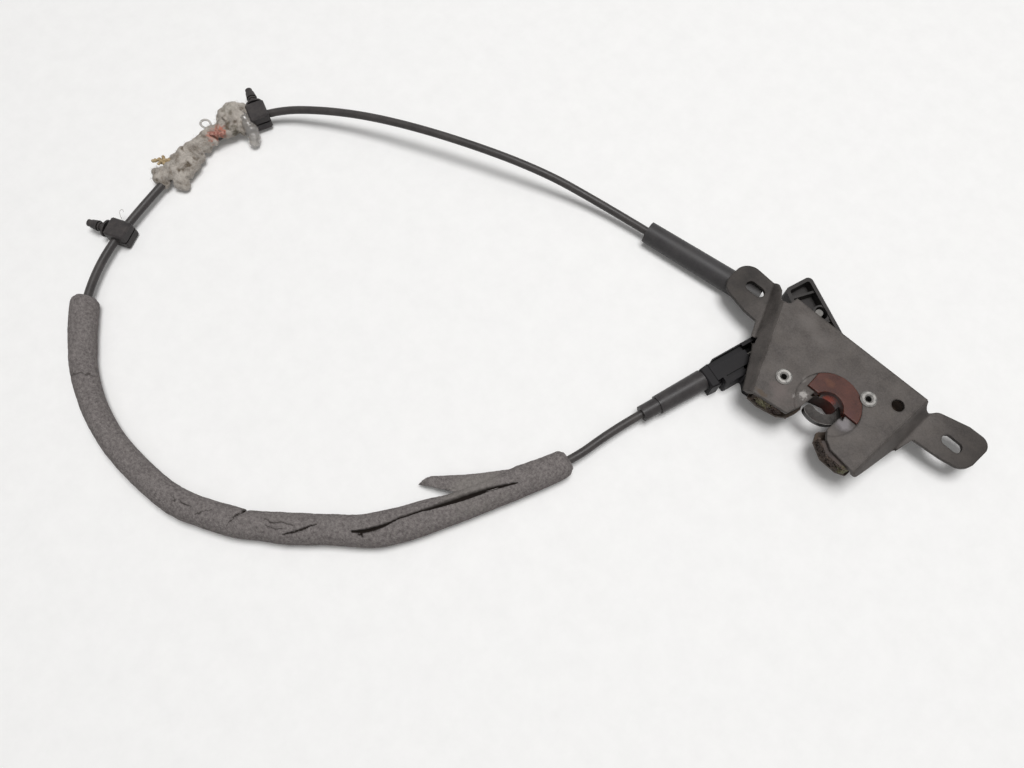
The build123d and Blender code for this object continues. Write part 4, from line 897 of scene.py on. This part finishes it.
dress(felt, makeFinish("dirtyFelt", feltLook))
print("stage: finishes")


# Start of a tree that strews a shape over a surface: its inputs and the points
def scatterTree(name, inputs):
    tree, given, out = newGroup(
        name,
        [("Geometry", "Geometry", None), ("Density", "Float", 1000.0), *inputs, ("Seed", "Int", 1)],
        [("Geometry", "Geometry")],
        "GeometryNodeTree",
    )
    roots = put(tree, "GeometryNodeDistributePointsOnFaces", {
        "Mesh": given["Geometry"], "Density": given["Density"], "Seed": given["Seed"],
    }).outputs
    return tree, given, out, roots


def randomTurn(tree, given, low, high):
    inputs = {0: low, 1: high, "Seed": given["Seed"]}
    return put(tree, "FunctionNodeRandomValue", inputs, data_type="FLOAT_VECTOR").outputs[0]


# End of such a tree: a copy of the shape on each point, turned, sized and painted
def placeCopies(tree, given, out, roots, shape, turn, sizes, material):
    inputs = {2: sizes[0], 3: sizes[1], "Seed": given["Seed"]}
    size = put(tree, "FunctionNodeRandomValue", inputs, data_type="FLOAT").outputs[1]
    placed = put(tree, "GeometryNodeInstanceOnPoints", {
        "Points": roots["Points"], "Instance": shape, "Rotation": turn, "Scale": size,
    })
    real = put(tree, "GeometryNodeRealizeInstances", {"Geometry": placed.outputs[0]})
    painted = put(tree, "GeometryNodeSetMaterial", {
        "Geometry": real.outputs[0], "Material": material,
    })
    tree.links.new(painted.outputs[0], out["Geometry"])
    return tree


# Short bent fibres that grow from a surface
def fibreTree(material):
    tree, given, out, roots = scatterTree("looseFibres", [
        ("Length", "Float", 0.002), ("Thickness", "Float", 0.00005),
    ])
    bend = put(tree, "GeometryNodeCurveQuadraticBezier", {
        "Resolution": 4, "Start": (0, 0, -0.2), "Middle": (0.3, 0.1, 0.5), "End": (0.9, 0.5, 0.55),
    })
    lengths = put(tree, "ShaderNodeCombineXYZ", {axis: given["Length"] for axis in range(3)})
    sized = put(tree, "GeometryNodeTransform", {
        "Geometry": bend.outputs[0], "Scale": lengths.outputs[0],
    })
    profile = put(tree, "GeometryNodeCurvePrimitiveCircle", {
        "Resolution": 3, "Radius": given["Thickness"],
    })
    strand = put(tree, "GeometryNodeCurveToMesh", {
        "Curve": sized.outputs[0], "Profile Curve": profile.outputs[0],
    })
    lean = randomTurn(tree, given, (-0.9, -0.9, 0.0), (0.9, 0.9, 6.28))
    turned = put(tree, "FunctionNodeRotateRotation", {0: roots["Rotation"], 1: lean},
                 rotation_space="LOCAL").outputs[0]
    return placeCopies(tree, given, out, roots, strand.outputs[0], turned, (0.4, 1.5), material)


# Crumbs of dirt strewn over a surface
def crumbTree(material):
    tree, given, out, roots = scatterTree("dirtCrumbs", [
        ("Smallest", "Float", 0.0002), ("Largest", "Float", 0.0008),
    ])
    ball = put(tree, "GeometryNodeMeshIcoSphere", {"Radius": 1.0, "Subdivisions": 2})
    uneven = put(tree, "ShaderNodeTexNoise", {"Scale": 1.6, "Detail": 3.0}).outputs[1]
    centred = vectorMath(tree, "SUBTRACT", uneven, (0.5, 0.5, 0.5))[0]
    pushed = put(tree, "ShaderNodeVectorMath", {0: centred, "Scale": 1.4}, operation="SCALE")
    lump = put(tree, "GeometryNodeSetPosition", {
        "Geometry": ball.outputs[0], "Offset": pushed.outputs[0],
    }).outputs[0]
    spin = randomTurn(tree, given, (0, 0, 0), (6.28, 6.28, 6.28))
    sizes = given["Smallest"], given["Largest"]
    return placeCopies(tree, given, out, roots, lump, spin, sizes, material)


# Runs a tree over a source mesh and keeps the result as a plain mesh of its own
def growOver(name, sourceMesh, tree, values):
    source = addObject(name + "Source", sourceMesh.copy())
    nodes = source.modifiers.new("nodes", "NODES")
    nodes.node_group = tree
    for item in tree.interface.items_tree:
        if item.item_type == "SOCKET" and item.in_out == "INPUT" and item.name in values:
            nodes[item.identifier] = values[item.name]
    seen = source.evaluated_get(bpy.context.evaluated_depsgraph_get())
    grown = bpy.data.meshes.new_from_object(seen)
    bpy.data.objects.remove(source)
    places = np.empty(len(grown.vertices) * 3)
    grown.vertices.foreach_get("co", places)
    places[2::3] = np.maximum(places[2::3], crumpleSetup["lowest"])
    grown.vertices.foreach_set("co", places)
    grown.name = name
    return addObject(name, grown)


fibreLook = dict(
    dark=(168, 161, 154), light=(212, 206, 200), scale=200.0, rough=(0.9, 1.0), bump=0.0,
    specular=0.1,
)
fibreWool = makeFinish("feltFibre", fibreLook)
fluff = growOver("feltFluff", felt.data, fibreTree(fibreWool), {
    "Density": feltSetup["fibreDensity"], "Length": feltSetup["fibreLength"],
    "Thickness": feltSetup["fibreThickness"], "Seed": feltSetup["seed"],
})
print("stage: fluff", len(fluff.data.polygons), "faces")


# What sticks to the felt: a dried yellow sprig, a red scrap, a clear loop and a clear drop,
# and a clear hair on the lower clip
debrisSetup = dict(
    sprig=[
        (-392.8, -172.9, 8.3, 1.1), (-391.4, -171.7, 8.8, 1.3), (-389.9, -169.6, 9.2, 1.4),
        (-389.2, -166.8, 9.8, 1.1), (-387.4, -169.8, 9.6, 1.5), (-386.0, -168.6, 10.2, 1.6),
        (-384.4, -167.4, 10.8, 1.6), (-383.0, -166.2, 11.4, 1.6), (-388.0, -171.8, 8.8, 1.0),
        (-384.0, -169.6, 10.8, 1.2), (-387.8, -167.6, 9.8, 1.2),
    ],
    scrap=[
        (-380.6, -137.0, 12.2, 1.1), (-378.6, -135.6, 12.9, 1.5), (-376.6, -134.4, 13.0, 1.6),
        (-375.0, -132.4, 12.9, 1.7), (-374.0, -130.2, 12.4, 1.3), (-377.6, -132.2, 13.0, 1.1),
    ],
    drop=[
        (-376.6, -112.9, 11.5, 3.2), (-373.2, -113.6, 11.2, 3.8), (-369.6, -114.6, 9.8, 4.4),
        (-366.0, -115.6, 8.2, 4.6), (-363.2, -116.8, 6.4, 4.2), (-361.4, -118.6, 4.4, 3.4),
    ],
    loop=[
        (-382.6, -134.4, 11.2), (-384.6, -135.0, 11.8), (-387.0, -136.2, 12.0),
        (-390.2, -136.0, 12.4), (-391.0, -133.4, 12.8), (-388.6, -130.8, 13.0),
        (-385.4, -131.0, 12.6), (-382.8, -132.4, 11.4),
    ],
    hair=[
        (-372.5, -211.6, 8.6), (-377.4, -210.2, 8.2), (-379.4, -208.6, 7.4),
        (-378.6, -206.8, 7.8), (-376.4, -207.8, 8.0),
    ],
)
sprigLook = dict(
    dark=(144, 122, 90), light=(200, 180, 144), scale=300.0, rough=(0.7, 0.9), bump=0.5,
    contrast=1.5, specular=0.2,
)
scrapLook = dict(
    dark=(140, 82, 70), light=(190, 146, 134), scale=500.0, rough=(0.6, 0.85), bump=0.5,
    contrast=2.2, specular=0.2,
)
clearLook = dict(
    dark=(178, 174, 170), light=(214, 211, 207), scale=120.0, rough=(0.14, 0.28), bump=0.1,
    specular=0.5, clear=0.75,
)
clearGum = makeFinish("clearGum", clearLook)


def lumpPiece(name, lumps, material, voxel, detail, amount, step, seed):
    piece = mergedLumps(name, lumps, voxel, detail)
    crumple(piece, amount, step, seed)
    dress(piece, material)
    return piece


sprig = lumpPiece("driedSprig", debrisSetup["sprig"], makeFinish("driedSprig", sprigLook),
                  voxel=0.22, detail=2, amount=0.35, step=1.8, seed=3)
scrap = lumpPiece("redScrap", debrisSetup["scrap"], makeFinish("redScrap", scrapLook),
                  voxel=0.25, detail=2, amount=0.5, step=2.4, seed=5)
drop = lumpPiece("clearDrop", debrisSetup["drop"], clearGum,
                 voxel=0.4, detail=3, amount=0.35, step=12.0, seed=7)
loop = smoothCurve("clearLoop", debrisSetup["loop"], 0.0007, roundness=3)
hair = smoothCurve("clearHair", debrisSetup["hair"], 0.00016, roundness=2)
for thread in (loop, hair):
    dress(thread, clearGum)
print("stage: debris on the felt")


# Dirt packed along the open edges of the two jaws
jawDirtSetup = dict(
    left=[
        (-27.5, -42.9), (-22.0, -42.7), (-16.0, -41.8), (-10.8, -40.8),
    ],
    right=[
        (12.6, -38.9), (17.0, -41.7), (21.0, -43.7), (27.0, -44.0), (32.0, -43.6),
    ],
    levels=(17.2, 25.4), density=1500000.0, smallest=0.00018, largest=0.00085, seed=4,
)


def edgeStrip(line, levels):
    points = [(x, y, z) for x, y in line for z in levels]
    faces = [(2 * i, 2 * i + 2, 2 * i + 3, 2 * i + 1) for i in range(len(line) - 1)]
    return meshFrom("strip", points, faces, smooth=False)


dirtLook = dict(
    dark=(38, 31, 28), light=(92, 80, 72), scale=260.0, fine=2200.0, contrast=1.7,
    rough=(0.5, 0.85), bump=0.6, specular=0.25,
    spots=[
        mark((-21.2, -42, 21.5), (5.4, 3, 4.5), 0.85, (134, 130, 100), ragged=0.7),
        mark((-13.2, -41, 21.0), (5.0, 3, 5), 0.85, (46, 29, 26), ragged=0.5),
        mark((33.0, -43, 21.5), (5.4, 3, 4), 0.8, (124, 122, 84), ragged=0.7),
    ],
)
dirtTree = crumbTree(makeFinish("packedDirt", dirtLook))
dirtValues = {"Density": jawDirtSetup["density"], "Smallest": jawDirtSetup["smallest"],
              "Largest": jawDirtSetup["largest"], "Seed": jawDirtSetup["seed"]}
jawDirt = []
for side in ("left", "right"):
    strip = edgeStrip(jawDirtSetup[side], jawDirtSetup["levels"])
    jawDirt.append(growOver(side + "JawDirt", strip, dirtTree, dirtValues))
print("stage: jaw dirt", [len(piece.data.polygons) for piece in jawDirt])


# Floor, lamp and sky
lightSetup = dict(
    floorColor=(0.96, 0.955, 0.947, 1.0), floorShade=0.955, floorGrain=70.0, floorBump=0.25,
    floorBumpDepth=0.0004, floorRough=0.8, floorSpecular=0.2, floorReach=6, floorLift=0.07,
    skyLow=0.05, skyHigh=0.6, skyPower=3.0, skyColor=(1.0, 0.995, 0.985, 1.0),
    backdropStrength=0.85, lampPower=41.0, lampSize=1.1, lampDistance=2.4,
    lampFrom=(0.05, 0.12, 0.99), lampAim=(-0.15, -0.12, 0.0),
)


# One where a ray is seen directly, mirrored or through something clear
def seenRays(tree):
    rays = tree.nodes.new("ShaderNodeLightPath").outputs
    seen = figure(tree, "MAXIMUM", rays["Is Camera Ray"], rays["Is Glossy Ray"])
    return figure(tree, "MAXIMUM", seen, rays["Is Transmission Ray"])


def makeFloor(setup):
    mesh = bpy.data.meshes.new("tableTop")
    far = setup["floorReach"]
    corners = [(-far, -far, 0), (far, -far, 0), (far, far, 0), (-far, far, 0)]
    mesh.from_pydata(corners, [], [(0, 1, 2, 3)])
    floor = addObject("tableTop", mesh)
    material = bpy.data.materials.new("paleTable")
    material.use_nodes = True
    tree = material.node_tree
    shader = tree.nodes["Principled BSDF"]
    place = tree.nodes.new("ShaderNodeTexCoord").outputs["Object"]
    cloud = cloudNoise(tree, place, setup["floorGrain"], 6.0, 0.7)
    low = tuple(value * setup["floorShade"] for value in setup["floorColor"][:3]) + (1.0,)
    color = mixTones(tree, spread(tree, cloud, 0.3, 0.7), low, setup["floorColor"])
    tree.links.new(color, shader.inputs["Base Color"])
    bump = put(tree, "ShaderNodeBump", {
        "Strength": setup["floorBump"], "Distance": setup["floorBumpDepth"], "Height": cloud,
    })
    tree.links.new(bump.outputs[0], shader.inputs["Normal"])
    shader.inputs["Roughness"].default_value = setup["floorRough"]
    shader.inputs["Specular IOR Level"].default_value = setup["floorSpecular"]
    # Seen directly or mirrored, the table is lifted a little, so its shadows stay soft and pale
    lift = put(tree, "ShaderNodeEmission", {"Color": setup["floorColor"], "Strength": 1.0})
    share = figure(tree, "MULTIPLY", seenRays(tree), setup["floorLift"])
    inputs = {0: share, 1: shader.outputs[0], 2: lift.outputs[0]}
    both = put(tree, "ShaderNodeMixShader", inputs)
    tree.links.new(both.outputs[0], tree.nodes["Material Output"].inputs["Surface"])
    floor.data.materials.append(material)


def makeLights(setup):
    world = bpy.data.worlds.new("paleRoom")
    bpy.context.scene.world = world
    world.use_nodes = True
    tree = world.node_tree
    background = tree.nodes["Background"]
    background.inputs["Color"].default_value = setup["skyColor"]
    way = tree.nodes.new("ShaderNodeTexCoord").outputs["Generated"]
    height = put(tree, "ShaderNodeSeparateXYZ", {0: way}).outputs[2]
    overhead = figure(tree, "POWER", figure(tree, "MAXIMUM", height, 0.0), setup["skyPower"])
    ceiling = figure(tree, "MULTIPLY", overhead, setup["skyHigh"])
    sky = figure(tree, "ADD", ceiling, setup["skyLow"])
    strength = mixFigures(tree, seenRays(tree), sky, setup["backdropStrength"])
    tree.links.new(strength, background.inputs["Strength"])
    data = bpy.data.lights.new("softLamp", "AREA")
    data.shape = "DISK"
    data.size = setup["lampSize"]
    data.energy = setup["lampPower"]
    lamp = addObject("softLamp", data)
    aim = Vector(setup["lampAim"])
    way = Vector(setup["lampFrom"]).normalized()
    lamp.location = aim + way * setup["lampDistance"]
    lamp.rotation_mode = "QUATERNION"
    lamp.rotation_quaternion = way.to_track_quat("Z", "Y")


makeFloor(lightSetup)
makeLights(lightSetup)
print("stage: floor and light")


# What each piece rides on; the frame's own cable, foam and felt are hidden
for piece in (cable, foam, felt, fluff, sprig, scrap, drop, loop, hair, *jawDirt):
    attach(piece, "frame")
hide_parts("cable_conduit")
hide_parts("foam_sleeve")
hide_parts("felt_wrap")
[value * mm for value in cableSetup["route"][0]]
